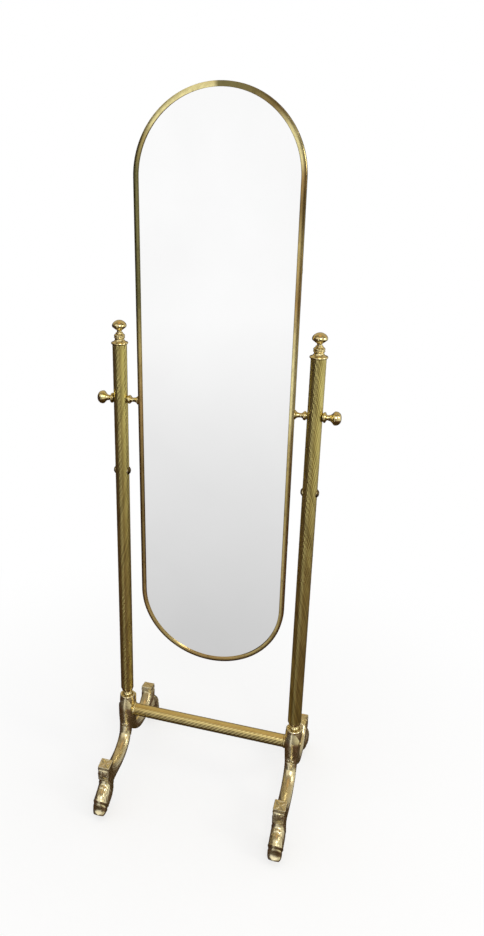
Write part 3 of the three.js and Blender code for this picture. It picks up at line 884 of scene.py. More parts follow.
def makeBand(look):
    lip, wall, half = look["lip"], look["wall"], look["depth"] / 2
    seat = look["lipDepth"] - half
    section = softenCorners([
        (0, -half), (0, half), (wall, half), (wall, seat), (lip, seat), (lip, -half)],
        look["soft"], closed=True)
    path = pillPath(look["width"], look["height"], look["arcSteps"], look["runSteps"])
    verts = [(x - outX * inward, y, z - outZ * inward - look["drop"])
             for x, z, outX, outZ in path for inward, y in section]
    band = np.array(verts, float), ringFaces(len(section), len(path), closed=True)
    bore = alongX(drill(studHole, 20))
    bores = [moved(bore, hand * look["studAt"]) for hand in hands.values()]
    bore = alongY(drill(look["clipHole"], 16, 24))
    bores += [moved(bore, x, half, z) for x, z, _ in clipPlaces(look)]
    mesh = cutHoles(meshFrom(leanMirror(band)), *[leanMirror(bore) for bore in bores])
    # each point of the band gets its tarnish and painted reflection
    toneAndReflection = mesh.color_attributes.new("toneAndReflection", "FLOAT_COLOR", "POINT")
    for v, sample in zip(mesh.vertices, toneAndReflection.data):
        sample.color = toneAndReflectionAt(v.co.x / mm, v.co.z / mm - pivot.z)
    dressPiece(mesh, "brass_band", "mirror", "bandBrass", "mirror_band")


def slab(outlineAt, front, back, edge):
    # a flat plate with softened edges; outlineAt(inset) is its outline in (x, z), drawn in
    verts = []
    for inset, y in ((edge, front), (0, front + edge), (0, back - edge), (edge, back)):
        outline = outlineAt(inset)
        verts += [(x, y, z) for x, z in outline]
    return np.array(verts, float), ringFaces(len(outline), 4, capped=True)


def makePanes(look):
    gap = 2 * (look["wall"] + clearance)
    width, height = look["width"] - gap, look["height"] - gap

    def outlineAt(inset):
        path = pillPath(width - 2 * inset, height - 2 * inset, look["arcSteps"], 4)
        return [(x, z - look["drop"]) for x, z, _, _ in path]

    front = look["lipDepth"] - look["depth"] / 2 + clearance
    pane = slab(outlineAt, front, front + look["glass"], look["glassEdge"])
    newPiece("mirror_pane", leanMirror(pane), "mirror", "silveredGlass", "mirror_glass", 20)
    front += look["glass"] + clearance
    board = slab(outlineAt, front, look["depth"] / 2, look["boardEdge"])
    newPiece("hardboard_back", leanMirror(board), "mirror", "hardboard", "mirror_backing", 20)


makeBand(mirrorLook)
makePanes(mirrorLook)
print("mirror made")


clipLook = {
    "width": 14.0, "reach": 20.0, "above": 2.5, "thickness": 1.4, "corner": 3.0, "edge": 0.25,
    "screw": [
        [0, -7], [0.9, -7], [1.3, -5.6], [1.3, 0], [2.6, 0], [2.6, 0.4], [2.3, 1.3, 1.2, 1.55],
        [0.6, 1.6, 0, 1.6]],
    # the cross in the screw's head
    "arms": [(3.2, 1.6, 0.6), (0.6, 1.6, 3.2)], "armsOut": 2.1,
}


def roundedTab(look, steps=6):
    corner = look["corner"]
    x = look["width"] / 2 - corner
    top, bottom = look["above"] - corner, look["above"] - look["reach"] + corner
    outline = []
    for cx, cz, start in ((x, top, 0), (-x, top, 90), (-x, bottom, 180), (x, bottom, 270)):
        for i in range(steps + 1):
            a = math.radians(start + 90 * i / steps)
            outline.append((cx + corner * math.cos(a), cz + corner * math.sin(a)))
    return outline


def makeClips(look):
    names = ["top", "bottom", "left_upper", "left_lower", "right_upper", "right_lower"]
    front = mirrorLook["depth"] / 2 + clearance
    back = front + look["thickness"]
    outline = roundedTab(look)
    middle = Vector(np.mean(outline, axis=0))

    def outlineAt(inset):
        return [Vector(p) - (Vector(p) - middle).normalized() * inset for p in outline]

    tab = slab(outlineAt, front, back, look["edge"])
    hole = moved(alongY(drill(mirrorLook["clipHole"], 12, 32)), y=front)
    screw = moved(alongY(turnShape(look["screw"], 40, 0.1)), y=back + clearance)
    arms = [boxShape(size, (0, back + look["armsOut"], 0)) for size in look["arms"]]
    for name, (x, z, turn) in zip(names, clipPlaces(mirrorLook)):
        spin = np.array(Matrix.Rotation(turn, 3, "Y")).T

        def place(shape):
            return leanMirror(moved((shape[0] @ spin, shape[1]), x, 0, z))

        mesh = cutHoles(meshFrom(place(tab)), place(hole))
        dressPiece(mesh, f"{name}_brass_clip", "mirror", "castBrass", f"{name}_clip")
        mesh = meshFrom(place(screw))
        for arm in arms:
            mesh = cutHoles(mesh, place(arm))
        dressPiece(mesh, f"{name}_clip_fixing", "mirror", "zincSteel", f"{name}_clip_screw")


makeClips(clipLook)
print("clips made")


spacerLook = {
    "points": [
        [studHole, 0], [10, 0], [10, 1.3], [9.2, 2.1], [6.2, 3.6, 5.2, 8], [4.7, 12.5],
        [5.0, 15.2], [6.0, 15.6], [6.3, 16.2], [5.9, 16.9], [8.4, 18.0], [9.6, 19.6],
        [9.6, 22.3], [8.8, 23.4], [7.6, 23.9], [7.6, 25.5], [studHole, 25.5], [studHole, 0],
    ],
}

washerLook = {
    "segments": 72, "soft": 0.15,
    "points": [
        [studHole, 0], [9.3, 0], [9.5, 0.3], [9.5, 1.0], [9.1, 1.4], [studHole, 1.4],
        [studHole, 0],
    ],
}

knobLook = {
    "points": [
        [0, 21], [studHole, 21], [studHole, 0], [10.1, 0], [11.3, 1.0], [11.3, 3.1],
        [10.4, 4.3], [9.3, 4.8], [6.4, 5.4, 5.4, 8.2], [5.2, 9.6], [6.1, 10.1], [6.4, 10.8],
        [6.0, 11.6], [6.4, 15.4, 12.8, 20.4], [14.6, 21.9, 14.6, 24.4],
        [14.6, 29.2, 11.0, 32.8], [8.2, 35.4, 4.0, 35.9], [2.0, 36, 0, 36],
    ],
}


# the stud, and the radius and length of its two chamfered ends
studLook = {"radius": 3.0, "inner": (2.5, 0.6), "outer": (2.2, 0.8)}


def makePivot(side):
    hand = hands[side]

    def turned(node, name, body, look):
        shape = turnShape(look["points"], look.get("segments", 96), look.get("soft", 0.3))
        start = outwards(f"{side}_{node}")[0]
        newPiece(f"{side}_{name}", leanMirror(alongX(moved(shape, z=start), hand)), body,
                 "knobBrass", f"{side}_{node}")

    turned("pivot_spacer", "turned_spacer", "mirror", spacerLook)
    start, end = outwards(f"{side}_pivot_stud")
    radius, inner, outer = studLook["radius"], studLook["inner"], studLook["outer"]
    stud = turnShape([
        [0, start], [inner[0], start], [radius, start + inner[1]], [radius, end - outer[1]],
        [outer[0], end], [0, end]], 48, 0.1)
    newPiece(f"{side}_threaded_stud", leanMirror(alongX(stud, hand)), "mirror", "zincSteel",
             f"{side}_pivot_stud")
    turned("knob_washer", "brass_washer", f"{side}_washer", washerLook)
    turned("clamp_knob", "turned_knob", f"{side}_knob", knobLook)


for side in hands:
    makePivot(side)
print("pivot hardware made")


hubLook = {
    "halfWidth": 16.0, "bevel": 1.2,
    # seen from the side, with an arch under it
    "profile": [[-17, 98], [0, 138, 17, 98], [17, 188], [-17, 188]],
    # seen from the front: its right half, which draws in to a waist where the legs join
    "outline": [(16, 230), (16, 156.4), (15.4, 149.4), (15.2, 122), (14, 114), (14, 0)],
    "outlineSoft": 3.0,
    "cup": [
        [0, 184], [16, 184], [16, 188], [18.9, 188.4], [19.8, 189.6, 19.8, 192],
        [19.8, 199.6, 18.8, 207], [18.6, 208.2], [18.6, 211.6], [17.4, 213], [15.6, 213],
        [14.4, 211.4], [14.4, 205], [0, 205],
    ],
    "hollow": (14.0, 18.0, 60.0), "hollowAt": 120.0, "rodHole": (4.35, 22.0), "rodAt": 190.0,
}

legScrewHeight = round(centreOf("left_front_leg_screw").z, 3)
padReach = round(centreOf("left_back_pad").y, 3)


def makeHub(side, look):
    wide, right = look["halfWidth"], look["outline"]
    profile = softenCorners(tracePath(look["profile"], 14), look["bevel"], closed=True)
    outline = softenCorners(right + [(-a, b) for a, b in reversed(right)], look["outlineSoft"],
                            closed=True)
    body, trim = prism(profile, -wide, wide, sideOn), prism(outline, -40, 40, frontOn)
    body = boolean(meshFrom(body), meshFrom(trim), "INTERSECT")
    body = bevelMesh(body, look["bevel"])
    whole = boolean(body, meshFrom(turnShape(look["cup"], 96, 0.5)), "UNION")
    screw = drill(studHole, 80)
    for hole in (boxShape(look["hollow"], (0, 0, look["hollowAt"])),
                 moved(drill(*look["rodHole"]), z=look["rodAt"]),
                 moved(alongY(screw), z=legScrewHeight),
                 moved(alongX(screw), z=stretcherHeight)):
        whole = cutHoles(whole, hole)
    whole.transform(Matrix.Translation((centreOf(f"{side}_post").x * mm, 0, 0)))
    dressPiece(whole, f"{side}_cast_hub", "stand", "castBrass", f"{side}_foot_hub")


# outer edge (y, z), inner edge (y, z), width, and squareness outside and inside, hub to toe
legSections = [
    ((26.6, 168), (17.6, 150), 27.4, 3.0, 3.2),
    ((26.6, 142), (17.4, 120), 28.0, 2.6, 3.2),
    ((30.0, 118), (17.6, 96), 28.8, 2.3, 3.1),
    ((38.0, 106), (26, 83), 29.2, 2.2, 3.0),
    ((52, 96.8), (40, 72.5), 29.4, 2.2, 3.0),
    ((70, 90.8), (59, 63.2), 29.4, 2.2, 3.0),
    ((88, 88.6), (82, 58.4), 29.4, 2.2, 3.0),
    ((106, 90), (107, 56.4), 29.4, 2.3, 3.0),
    ((124, 95), (126, 55), 29.2, 2.5, 3.0),
    ((140, 105), (137, 51), 29.0, 2.8, 3.0),
    ((153, 113), (140.5, 45), 29.0, 3.1, 3.1),
    ((168, 110), (141.5, 39), 29.8, 3.2, 3.2),
    ((174.6, 95), (144, 32.5), 31.6, 3.0, 3.2),
    ((175, 83), (148, 26), 32.6, 2.8, 3.0),
    ((178.5, 74.5), (154.5, 20.8), 33.2, 2.6, 3.0),
    ((187, 69), (161.5, 17), 33.6, 2.5, 3.0),
    ((197, 64), (169, 14.4), 33.6, 2.4, 3.0),
    ((207, 57), (177.5, 12.6), 33.6, 2.5, 3.0),
    ((211.8, 49), (185, 12.0), 33.4, 2.6, 3.0),
    ((213, 40), (194, 12.0), 33.2, 2.8, 3.0),
    ((212.8, 29), (202, 12.0), 33.2, 2.9, 3.1),
    ((213.6, 24.6), (207, 12.0), 33.2, 3.0, 3.2),
    ((218.4, 18.4), (211, 12.0), 33.2, 3.0, 3.4),
    ((218.9, 15.6), (213.5, 12.0), 33.0, 3.0, 3.6),
]

legLook = {
    "around": 44, "toeReach": 219.0, "toeRound": 16.6, "voxel": 0.85, "holes": 3.8,
    "knee": [(147, 84), (176, 84), (174.5, 121.8), (147, 125.8)], "kneeHalf": 14.4,
    # height of the root's ridge, of its crest over the shank, and the turn about the post
    "ends": {"front": (207.0, 187.0, math.pi), "back": (211.0, 203.0, 0.0)},
    # the seat of the hub's cup
    "seat": [
        [0, 187.6], [19.2, 187.6], [20.1, 189.6, 20.1, 192], [20.1, 199.6, 19.1, 207],
        [18.9, 208.2], [18.9, 230], [0, 230]],
}

rootLook = {
    "around": 48, "back": 17.3, "front": 28.0, "sidePower": 0.95, "frontPower": 0.9,
    # height and half width
    "levels": [(108, 13.8), (118, 14.2), (130, 15.2), (150, 16.4), (166, 17.0), (216, 17.0)],
    # the shoulder: radius and height over the ridge, radius and share of the way up from the
    # crest to the ridge, the curve over the crest, and the rest down, out and up again
    "ridge": (18.0, 2.4), "middle": (23.6, 0.42), "crest": (27.0, 1.4, 27.5, -9),
    "rest": [[27.5, 150], [26.4, 100], [60, 100], [60, 240], [18.0, 240]],
}


def smoothTable(rows, steps):
    # passes a smooth curve through every row
    rows = np.array(rows, float)
    padded = np.vstack([2 * rows[0] - rows[1], rows, 2 * rows[-1] - rows[-2]])
    out = []
    for i in range(1, len(padded) - 2):
        a, b, c, d = padded[i - 1:i + 3]
        for k in range(steps):
            t = k / steps
            out.append(0.5 * (2 * b + (c - a) * t + (2 * a - 5 * b + 4 * c - d) * t * t
                              + (3 * b - a - 3 * c + d) * t ** 3))
    out.append(rows[-1])
    return np.array(out)


legRows = smoothTable([(*outer, *inner, *rest) for outer, inner, *rest in legSections], 6)


def loftLeg(look):
    verts = []
    for oy, oz, iy, iz, width, squareOut, squareIn in legRows:
        for k in range(look["around"]):
            a = 2 * math.pi * k / look["around"]
            c, s = math.cos(a), math.sin(a)
            square = squareOut if c > 0 else squareIn
            c = math.copysign(abs(c) ** (2 / square), c)
            s = math.copysign(abs(s) ** (2 / square), s)
            y = (oy + iy) / 2 + (oy - iy) / 2 * c
            # the toe is a half circle seen from above
            past = max(0.0, y - look["toeReach"] + look["toeRound"]) / look["toeRound"]
            narrow = max(0.01, 1 - past ** 2.4) ** (1 / 2.4)
            verts.append((s * width / 2 * narrow, y, (oz + iz) / 2 + (oz - iz) / 2 * c))
    return np.array(verts, float), ringFaces(look["around"], len(legRows), capped=True)


def rootBlock(ridge, crest, look):
    # as wide as the hub, its front turned round the post to a soft shoulder
    count, back, levels = look["around"], look["back"], smoothTable(look["levels"], 5)
    verts = []
    for z, half in levels:
        for k in range(count):
            a = math.pi * k / (count - 1)
            c, s = math.cos(a), max(0.0, math.sin(a))
            verts.append((half * math.copysign(abs(c) ** look["sidePower"], c),
                          back + (look["front"] - back) * s ** look["frontPower"], z))
    block = np.array(verts, float), ringFaces(count, len(levels), capped=True)
    topRadius, over = look["ridge"]
    radius, share = look["middle"]
    bend, rise, end, drop = look["crest"]
    top = [topRadius, ridge + over]
    around = turnShape([
        top, [radius, crest + share * (ridge - crest)], [bend, crest + rise, end, crest + drop],
        *look["rest"], top], 120, 0)
    return cutHoles(meshFrom(block), around)


def fuse(meshes, voxel):
    work = bmesh.new()
    for mesh in meshes:
        work.from_mesh(mesh)
    joined = bpy.data.meshes.new("joined")
    work.to_mesh(joined)
    work.free()
    thing = addObject("joined", joined)
    step = thing.modifiers.new("fuse", "REMESH")
    step.mode = "VOXEL"
    step.voxel_size = voxel * mm
    soft = thing.modifiers.new("soft", "SMOOTH")
    soft.factor = 0.5
    soft.iterations = 4
    return faceOutwards(applyAll(thing))


carvingLook = {
    "bead": 1.8, "beadPitch": 5.6, "beadHeight": 0.35, "feather": 0.3, "featherPitch": 6.4,
    "leaf": 3.0, "diamond": 1.1, "collar": 0.9, "cabochon": 1.6, "scallop": 13.0,
    # x, z and radius of the berries where the root meets the shank
    "berries": [(-5.0, 134.0, 2.6), (0.0, 136.6, 3.0), (5.0, 134.0, 2.6)],
    # ridges and grooves: where each lies, its width, and how far it stands out
    "fillet": (4.6, 1.0, 0.45), "filletGroove": (7.0, 0.8, -0.5),
    "beadGroove": (11.8, 0.8, -0.5), "berryGroove": (129.6, 1.4, -0.5),
    "collarGroove": (5.2, 1.8, -0.5), "lip": (0.0, 2.0, 1.0), "crease": (0.0, 2.0, -0.9),
    # points (y, z) on the outer edge where the ornament changes
    "kneeStart": (142, 106), "kneeEnd": (181, 79), "collarAt": (183, 71.5),
    "bossAt": (198, 62.8), "lipAt": (209.5, 53.5), "footEnd": (212, 52),
    "creaseAt": (212.2, 45.6),
}


def ripple(value):
    # rounded ridges with sharp valleys, once per unit
    return 1 - 2 * np.abs(np.sin(math.pi * value)) ** 0.8


legMiddles = (legRows[:, 0:2] + legRows[:, 2:4]) / 2
legReach = (legRows[:, 0:2] - legRows[:, 2:4]) / 2
legAlong = np.concatenate([[0], np.cumsum(np.linalg.norm(np.diff(legMiddles, axis=0), axis=1))])


def station(place):
    # how far along the leg a point of its outer edge lies
    away = legRows[:, 0:2] - np.array(place)
    return legAlong[np.argmin((away ** 2).sum(1))]


# How far along the leg each point lies, the leg's thickness there, and the depth below
# its outer edge.
def unroll(points):
    length = np.linalg.norm(legReach, axis=1)
    toward = legReach / length[:, None]
    off = points[:, None, 1:3] - legMiddles[None]
    down = (off * toward[None]).sum(2)
    side = off[:, :, 0] * toward[None, :, 1] - off[:, :, 1] * toward[None, :, 0]
    nearest = np.argmin(np.abs(side) + np.maximum(0, np.abs(down) - length[None]) * 2, axis=1)
    pick = np.arange(len(points))
    # the point lies between the nearest section and the one on its other side
    step = np.where(side[pick, nearest] > 0, 1, -1)
    other = np.clip(nearest + step, 0, len(legRows) - 1)
    near, far = np.abs(side[pick, nearest]), np.abs(side[pick, other])
    share = np.clip(near / np.maximum(near + far, 1e-6), 0, 0.5)
    along = legAlong[nearest] * (1 - share) + legAlong[other] * share
    thick = 2 * (length[nearest] * (1 - share) + length[other] * share)
    depth = thick / 2 - down[pick, nearest] * (1 - share) - down[pick, other] * share
    return along, thick, depth


# How far the carving stands out, for points given across, along and up the leg.
def carving(points, normals, look):
    x, y, z = points.T
    nx, ny, nz = normals.T
    across = np.abs(x)
    s, thick, depth = unroll(points)
    height = thick - depth  # over the inner edge
    flank = window(np.abs(nx), 0.6, 2, 0.2)
    kneeStart, kneeEnd = station(look["kneeStart"]), station(look["kneeEnd"])
    shank = window(s, 24, kneeStart, 5) * flank
    foot = window(s, kneeEnd, station(look["footEnd"]), 4) * flank

    def line(key, value):
        place, width, rise = look[key]
        return rise * bell(value - place, width)

    # a fillet and a row of beads down the flank, with feathers below them
    relief = line("fillet", depth) * (shank + foot)
    relief += line("filletGroove", depth) * (shank + foot)
    phase = np.mod(s, look["beadPitch"]) - look["beadPitch"] / 2
    beads = 1 - (phase ** 2 + (depth - 9.4) ** 2) / look["bead"] ** 2
    relief += look["beadHeight"] * np.sqrt(np.clip(beads, 0, 1)) * shank
    relief += line("beadGroove", depth) * shank
    below = window(depth, 12.4, 70, 1.5) * window(height, 1.0, 70, 1.5)
    relief += look["feather"] * ripple(s / look["featherPitch"] - depth / 11.0) * below * shank
    below = window(depth, 8, 70, 2) * window(height, 1.5, 70, 2)
    relief += look["feather"] * ripple(depth / 7.0 - s / 34.0) * below * foot

    # scallops along the belly of the shank, ending in a leaf tip behind the knee
    edge = np.sqrt(np.clip(1 - (2 * np.mod(s / look["scallop"], 1) - 1) ** 2, 0, 1))
    belly = window(height, -3, 4.5, 2.5) * window(s, 60, kneeStart + 8, 12)
    relief += 0.7 * (edge - 0.6) * belly
    relief += 1.6 * np.clip(1 - np.hypot((y - 143) / 5.0, (z - 45) / 7.0), 0, 1)

    # long lobes down the flank of the knee
    knee = window(s, kneeStart - 4, kneeEnd, 5) * flank * window(z, 36, 120.5, 3)
    relief += 0.7 * ripple((y - 0.25 * (z - 84)) / 6.6 + 0.25 * np.sin(z / 7.0)) * knee

    # three small berries over a groove
    face = window(ny, 0.5, 2, 0.2) * window(y, 22, 40, 1)
    for berryX, berryZ, radius in look["berries"]:
        ball = 1 - ((x - berryX) ** 2 + (z - berryZ) ** 2) / radius ** 2
        relief += 1.3 * np.sqrt(np.clip(ball, 0, 1)) * face
    relief += line("berryGroove", z) * window(11 - across, 0, 30, 2) * face

    # crossed ridges on top of the knee block with sunk facets between them
    top = window(nz, 0.75, 2, 0.12) * window(z, 119, 140, 1) * window(y, 146, 190, 1)
    u, v = np.abs(x / 14.4), np.abs((y - 161) / 13.5)
    groove = np.minimum(np.minimum(1 - u, 1 - v), np.abs(u - v) / 1.414)
    relief += (0.5 - look["diamond"] * 1.9 * np.clip(groove * 4.2 - 0.25, 0, 1)) * top

    # under the block's cap the front face falls back, then swells out in a palm leaf
    front = window(ny, 0.3, 2, 0.3) * window(y, 168, 195, 2)
    relief -= 1.0 * window(z, 111, 119, 1.2) * window(across, -1, 12.8, 1.2) * front
    lobes = ripple(np.arctan2(x, z - 88) / 0.36)
    shell = np.clip(1 - (x / 10.5) ** 2 - ((z - 101) / 11.0) ** 2, 0, 1) ** 0.6
    relief += look["leaf"] * shell * (0.72 + 0.28 * lobes) * front

    # the foot: a scalloped collar, a smooth oval boss, a crease and a plain cap with a lip
    over = window(1 - flank, 0.4, 2, 0.3)
    bowed = s - station(look["collarAt"]) - 0.22 * across
    teeth = 0.7 + 0.3 * np.cos(2 * math.pi * across / 7.4)
    relief += look["collar"] * bell(bowed, 2.6) * teeth * over
    relief += line("collarGroove", bowed) * over
    oval = 1 - ((s - station(look["bossAt"])) / 11.0) ** 2 - (across / 11.5) ** 2
    relief += look["cabochon"] * np.clip(oval, 0, 1) ** 0.8 * over
    for key in ("lip", "crease"):
        relief += line(key, s - station(look[f"{key}At"])) * window(height, 3, 99, 3)
    return relief


def roughCast(points):
    # slow waviness and pits of a sand casting
    return np.array([
        0.16 * noise.noise(Vector(p) * 0.11) + 0.03 * noise.noise(Vector(p) * 0.45)
        for p in points])


def makeLegMesh(ridge, crest, look):
    # the hidden holes are cut before the parts are fused, the seat of the cup after the carving
    screw = moved(alongY(drill(look["holes"], 50, 32)), z=legScrewHeight)
    stem = moved(drill(look["holes"], 36, 32), 0, padReach, 12)
    knee = meshFrom(prism(look["knee"], -look["kneeHalf"], look["kneeHalf"], sideOn))
    root = cutHoles(rootBlock(ridge, crest, rootLook), screw)
    limb = cutHoles(cutHoles(meshFrom(loftLeg(look)), screw), stem)
    mesh = fuse([limb, root, bevelMesh(knee, 0.9, 4, 40)], look["voxel"])
    points, normals = readMesh(mesh) / mm, readMesh(mesh, "normal")
    relief = carving(points, normals, carvingLook) + roughCast(points)
    # the mating faces and the underside stay plain
    relief *= window(points[:, 1], 18.5, 999, 1.5) * window(points[:, 2], 14, 999, 2)
    points = points + normals * relief[:, None]
    points[:, 1] = np.minimum(points[:, 1], look["toeReach"])
    mesh.vertices.foreach_set("co", (points * mm).ravel())
    return cutHoles(mesh, turnShape(look["seat"], 96, 0))


def makeLegs(look):
    for end, (ridge, crest, turn) in look["ends"].items():
        mesh = makeLegMesh(ridge, crest, look)
        for side in hands:
            copy = mesh.copy()
            place = Matrix.Translation((centreOf(f"{side}_post").x * mm, 0, 0))
            copy.transform(place @ Matrix.Rotation(turn, 4, "Z"))
            dressPiece(copy, f"{side}_{end}_carved_leg", "stand", "castBrass",
                       f"{side}_{end}_leg", 55)


padLook = {
    "points": [
        [0, 0], [7.7, 0], [10.6, 0.8, 11.5, 4.6], [11.5, 9.2], [10.9, 10.6], [9.9, 11.4],
        [9.9, 11.7], [3, 11.7], [3, 26], [0, 26],
    ],
}

legScrewLook = {
    "points": [
        [0, 4.2], [4.7, 4.2], [5, 4.6], [5, 8.7], [3, 8.7], [3, 22.6], [2.4, 23.3], [0, 23.3]],
    "socket": 4.0, "socketDepth": 5.4, "socketAt": 4.1,
}


def hexShape(across, length):
    r = across / 1.732
    ring = [(r * math.cos(math.radians(60 * k)), r * math.sin(math.radians(60 * k)))
            for k in range(6)]
    return prism(ring, -length / 2, length / 2)


def makeFootHardware(look):
    pad = turnShape(padLook["points"], 72)
    screw = turnShape(look["points"], 48, 0.1)
    socket = moved(hexShape(look["socket"], look["socketDepth"]), z=look["socketAt"])
    for side in hands:
        x = centreOf(f"{side}_post").x
        for end, sign in (("front", -1), ("back", 1)):
            y = centreOf(f"{side}_{end}_pad").y
            newPiece(f"{side}_{end}_turned_glide", moved(pad, x, y), "stand", "turnedBrass",
                     f"{side}_{end}_pad")
            placed, key = (moved(alongY(part, sign), x, 0, legScrewHeight)
                           for part in (screw, socket))
            dressPiece(cutHoles(meshFrom(placed), key), f"{side}_{end}_socket_screw", "stand",
                       "zincSteel", f"{side}_{end}_leg_screw")


for side in hands:
    makeHub(side, hubLook)
print("hubs made")
makeLegs(legLook)
makeFootHardware(legScrewLook)
print("legs made")


# to the camera the floor is nearly white round the feet, where it keeps the shadow, and
# white beyond: "lift" is that share of white at the first distance in metres
floorLook = {"colour": (0.96, 0.96, 0.96, 1), "size": 30.0, "lift": 0.65, "around": (0.3, 1.3)}


def makeFloor(look):
    half = look["size"] / 2
    corners = [(-half, -half, 0), (half, -half, 0), (half, half, 0), (-half, half, 0)]
    mesh = bpy.data.meshes.new("studioFloor")
    mesh.from_pydata(corners, [], [[0, 1, 2, 3]])
    floor = addObject("studio_floor", mesh)
    material, tree, shader = newMaterial("studioFloor", roughness=0.9, metallic=0.0)
    shader.inputs["Base Color"].default_value = look["colour"]
    shader.inputs["Specular IOR Level"].default_value = 0.0
    place = objectPlace(tree)
    paper = addNode(tree, "ShaderNodeBump", {
        "Height": noiseNode(tree, place, 400.0, 3), "Distance": 0.0002, "Strength": 0.2})
    tree.links.new(paper.outputs[0], shader.inputs["Normal"])
    white = addNode(tree, "ShaderNodeEmission", {"Color": (1, 1, 1, 1), "Strength": 1.0})
    path = addNode(tree, "ShaderNodeLightPath").outputs
    distance = addNode(tree, "ShaderNodeVectorMath", {0: place}, operation="LENGTH").outputs
    spread = rangeNode(tree, distance["Value"], *look["around"], look["lift"], 1.0)
    amount = mathNode(tree, "MULTIPLY", path["Is Camera Ray"], spread)
    blend = addNode(tree, "ShaderNodeMixShader", {
        0: amount, 1: shader.outputs[0], 2: white.outputs[0]})
    tree.links.new(blend.outputs[0], tree.nodes["Material Output"].inputs["Surface"])
    mesh.materials.append(material)
    floor.visible_glossy = False


# what polished metal sees round the room: (azimuth in degrees from the front towards +X, colour)
roomAtEyeLevel = [
    (-180, "463a36"), (-120, "3e3230"), (-75, "443834"), (-52, "4a4240"), (-26, "4a4440"),
    (-3, "76706a"), (10, "8c867c"), (24, "b0ab9a"), (38, "c4c0ac"), (55, "d7d4bf"),
    (75, "e9ead7"), (105, "f6f5eb"), (130, "dcdad2"), (155, "968e80"), (180, "463a36"),
]
roomBelow = [
    (-180, "402e22"), (-120, "422f23"), (-60, "4a3328"), (-25, "553d2f"), (15, "63473c"),
    (60, "664a3e"), (110, "5f4638"), (150, "4e3b2e"), (180, "402e22"),
]

# heights are the upward part of the direction, from -1 straight down to 1 straight up, and
# behindFrom is the part of it that points away from the front
roomLook = {
    "fill": 0.8, "belowFrom": (-0.32, -0.43), "floor": "40321f", "floorFrom": (-0.606, -0.632),
    # the pale wall that the glass faces, darker towards its foot
    "wall": "ffffff", "wallFoot": "cfcfcf", "wallFootFrom": (-0.24, -0.61),
    "wallStops": [(-21.6, 0), (-20.6, 1), (-7.8, 1), (-6.8, 0)],
    # a window high in front, a lit wall high behind and a warm ceiling
    "window": "fffaf0", "windowStops": [(-62, 0), (-50, 1), (58, 1), (74, 0)],
    "windowTop": (0.86, 0.74), "aside": "8c8270", "behind": "c0b090", "behindFrom": (-0.1, 0.4),
    "ceiling": "dcb684", "ceilingFrom": (0.94, 0.985), "highFrom": (0.1, 0.42),
}


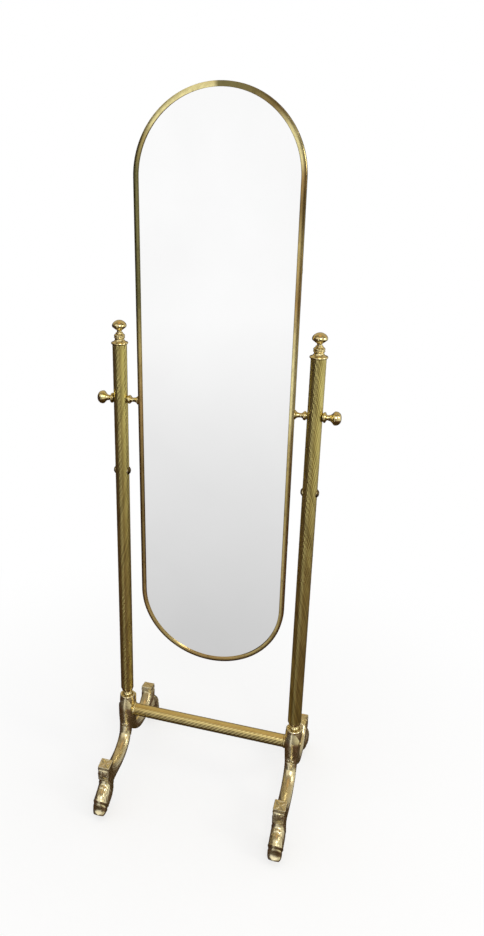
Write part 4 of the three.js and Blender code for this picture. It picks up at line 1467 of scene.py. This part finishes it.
def makeWorld(look):
    world = bpy.data.worlds.new("studio")
    bpy.context.scene.world = world
    world.use_nodes = True
    tree = world.node_tree
    tree.nodes.clear()
    direction = addNode(tree, "ShaderNodeTexCoord").outputs["Generated"]
    right, away, height = addNode(tree, "ShaderNodeSeparateXYZ", {0: direction}).outputs
    azimuth = mathNode(tree, "ARCTAN2", right, mathNode(tree, "MULTIPLY", away, -1.0))
    turn = mathNode(tree, "MULTIPLY_ADD", azimuth, 1 / (2 * math.pi), 0.5)

    def round360(table):
        return rampNode(tree, turn, [((angle + 180) / 360, colour) for angle, colour in table])

    def step(value, key, smooth=False):
        return rangeNode(tree, value, *look[key], smooth=smooth)

    def mix(share, *pair):
        # a colour is a socket, or a key of the dictionary
        pair = [hexColour(look[part]) if isinstance(part, str) else part for part in pair]
        return mixColours(tree, share, *pair)

    room = mix(step(height, "belowFrom"), round360(roomAtEyeLevel), round360(roomBelow))
    wall = mix(step(height, "wallFootFrom"), "wall", "wallFoot")
    room = mix(round360(look["wallStops"]), room, wall)
    high = mix(step(away, "behindFrom"), "aside", "behind")
    pane = mathNode(tree, "MULTIPLY", round360(look["windowStops"]), step(height, "windowTop"))
    high = mix(pane, high, "window")
    high = mix(step(height, "ceilingFrom"), high, "ceiling")
    room = mix(step(height, "highFrom", smooth=True), room, high)
    room = mix(step(height, "floorFrom"), room, "floor")

    # only metal sees the room; the rest is lit by plain white, and white is the backdrop
    path = addNode(tree, "ShaderNodeLightPath").outputs
    plainWhite = (1, 1, 1, 1)
    glossy, seen, white = (
        addNode(tree, "ShaderNodeBackground", {"Color": colour, "Strength": level}).outputs[0]
        for colour, level in ((room, 1.0), (plainWhite, look["fill"]), (plainWhite, 1.0)))
    for ray, other in (("Is Glossy Ray", glossy), ("Is Camera Ray", white)):
        seen = addNode(tree, "ShaderNodeMixShader", {0: path[ray], 1: seen, 2: other}).outputs[0]
    addNode(tree, "ShaderNodeOutputWorld", {"Surface": seen})


lamps = [
    # name, place in metres, aimed at, size, watts, colour
    ("windowLamp", (1.2, -2.6, 2.5), (0, 0, 0.8), 1.0, 22.0, (1.0, 0.97, 0.92)),
    ("sideLamp", (2.6, -0.4, 1.9), (0, 0, 0.9), 0.8, 12.0, (1.0, 0.93, 0.8)),
]


def makeLamps():
    for name, place, aim, size, watts, colour in lamps:
        data = bpy.data.lights.new(name, "AREA")
        data.shape = "SQUARE"
        data.size = size
        data.energy = watts
        data.color = colour
        lamp = addObject(name, data)
        lamp.location = place
        lamp.rotation_mode = "QUATERNION"
        lamp.rotation_quaternion = (Vector(aim) - Vector(place)).to_track_quat("-Z", "Y")


# place in metres, angles in degrees; the focal length and the centre are in the frame's units
cameraLook = {
    "place": (0.40783, -1.61663, 1.53890), "azimuth": 18.82, "down": 20.95, "roll": -0.50,
    "focal": 814.73, "centre": (151.35, 451.54), "frame": (484, 936),
}


def makeCamera(look):
    data = bpy.data.cameras.new("studioCamera")
    camera = addObject("studioCamera", data)
    a, e, r = (math.radians(look[k]) for k in ("azimuth", "down", "roll"))
    back = Vector((math.sin(a) * math.cos(e), -math.cos(a) * math.cos(e), math.sin(e)))
    right = Vector((math.cos(a), math.sin(a), 0))
    up = back.cross(right)
    tiltedRight = right * math.cos(r) + up * math.sin(r)
    tiltedUp = up * math.cos(r) - right * math.sin(r)
    turn = Matrix((tiltedRight, tiltedUp, back)).transposed().to_4x4()
    camera.matrix_world = Matrix.Translation(look["place"]) @ turn
    width, height = look["frame"]
    longSide = max(width, height)
    data.sensor_width = 36
    data.lens = look["focal"] / longSide * 36
    data.shift_x = (width / 2 - look["centre"][0]) / longSide
    data.shift_y = (look["centre"][1] - height / 2) / longSide
    data.clip_start, data.clip_end = 0.05, 60
    bpy.context.scene.camera = camera


makeFloor(floorLook)
makeWorld(roomLook)
makeLamps()
makeCamera(cameraLook)
bpy.context.scene.view_settings.view_transform = "Standard"
print("studio made")
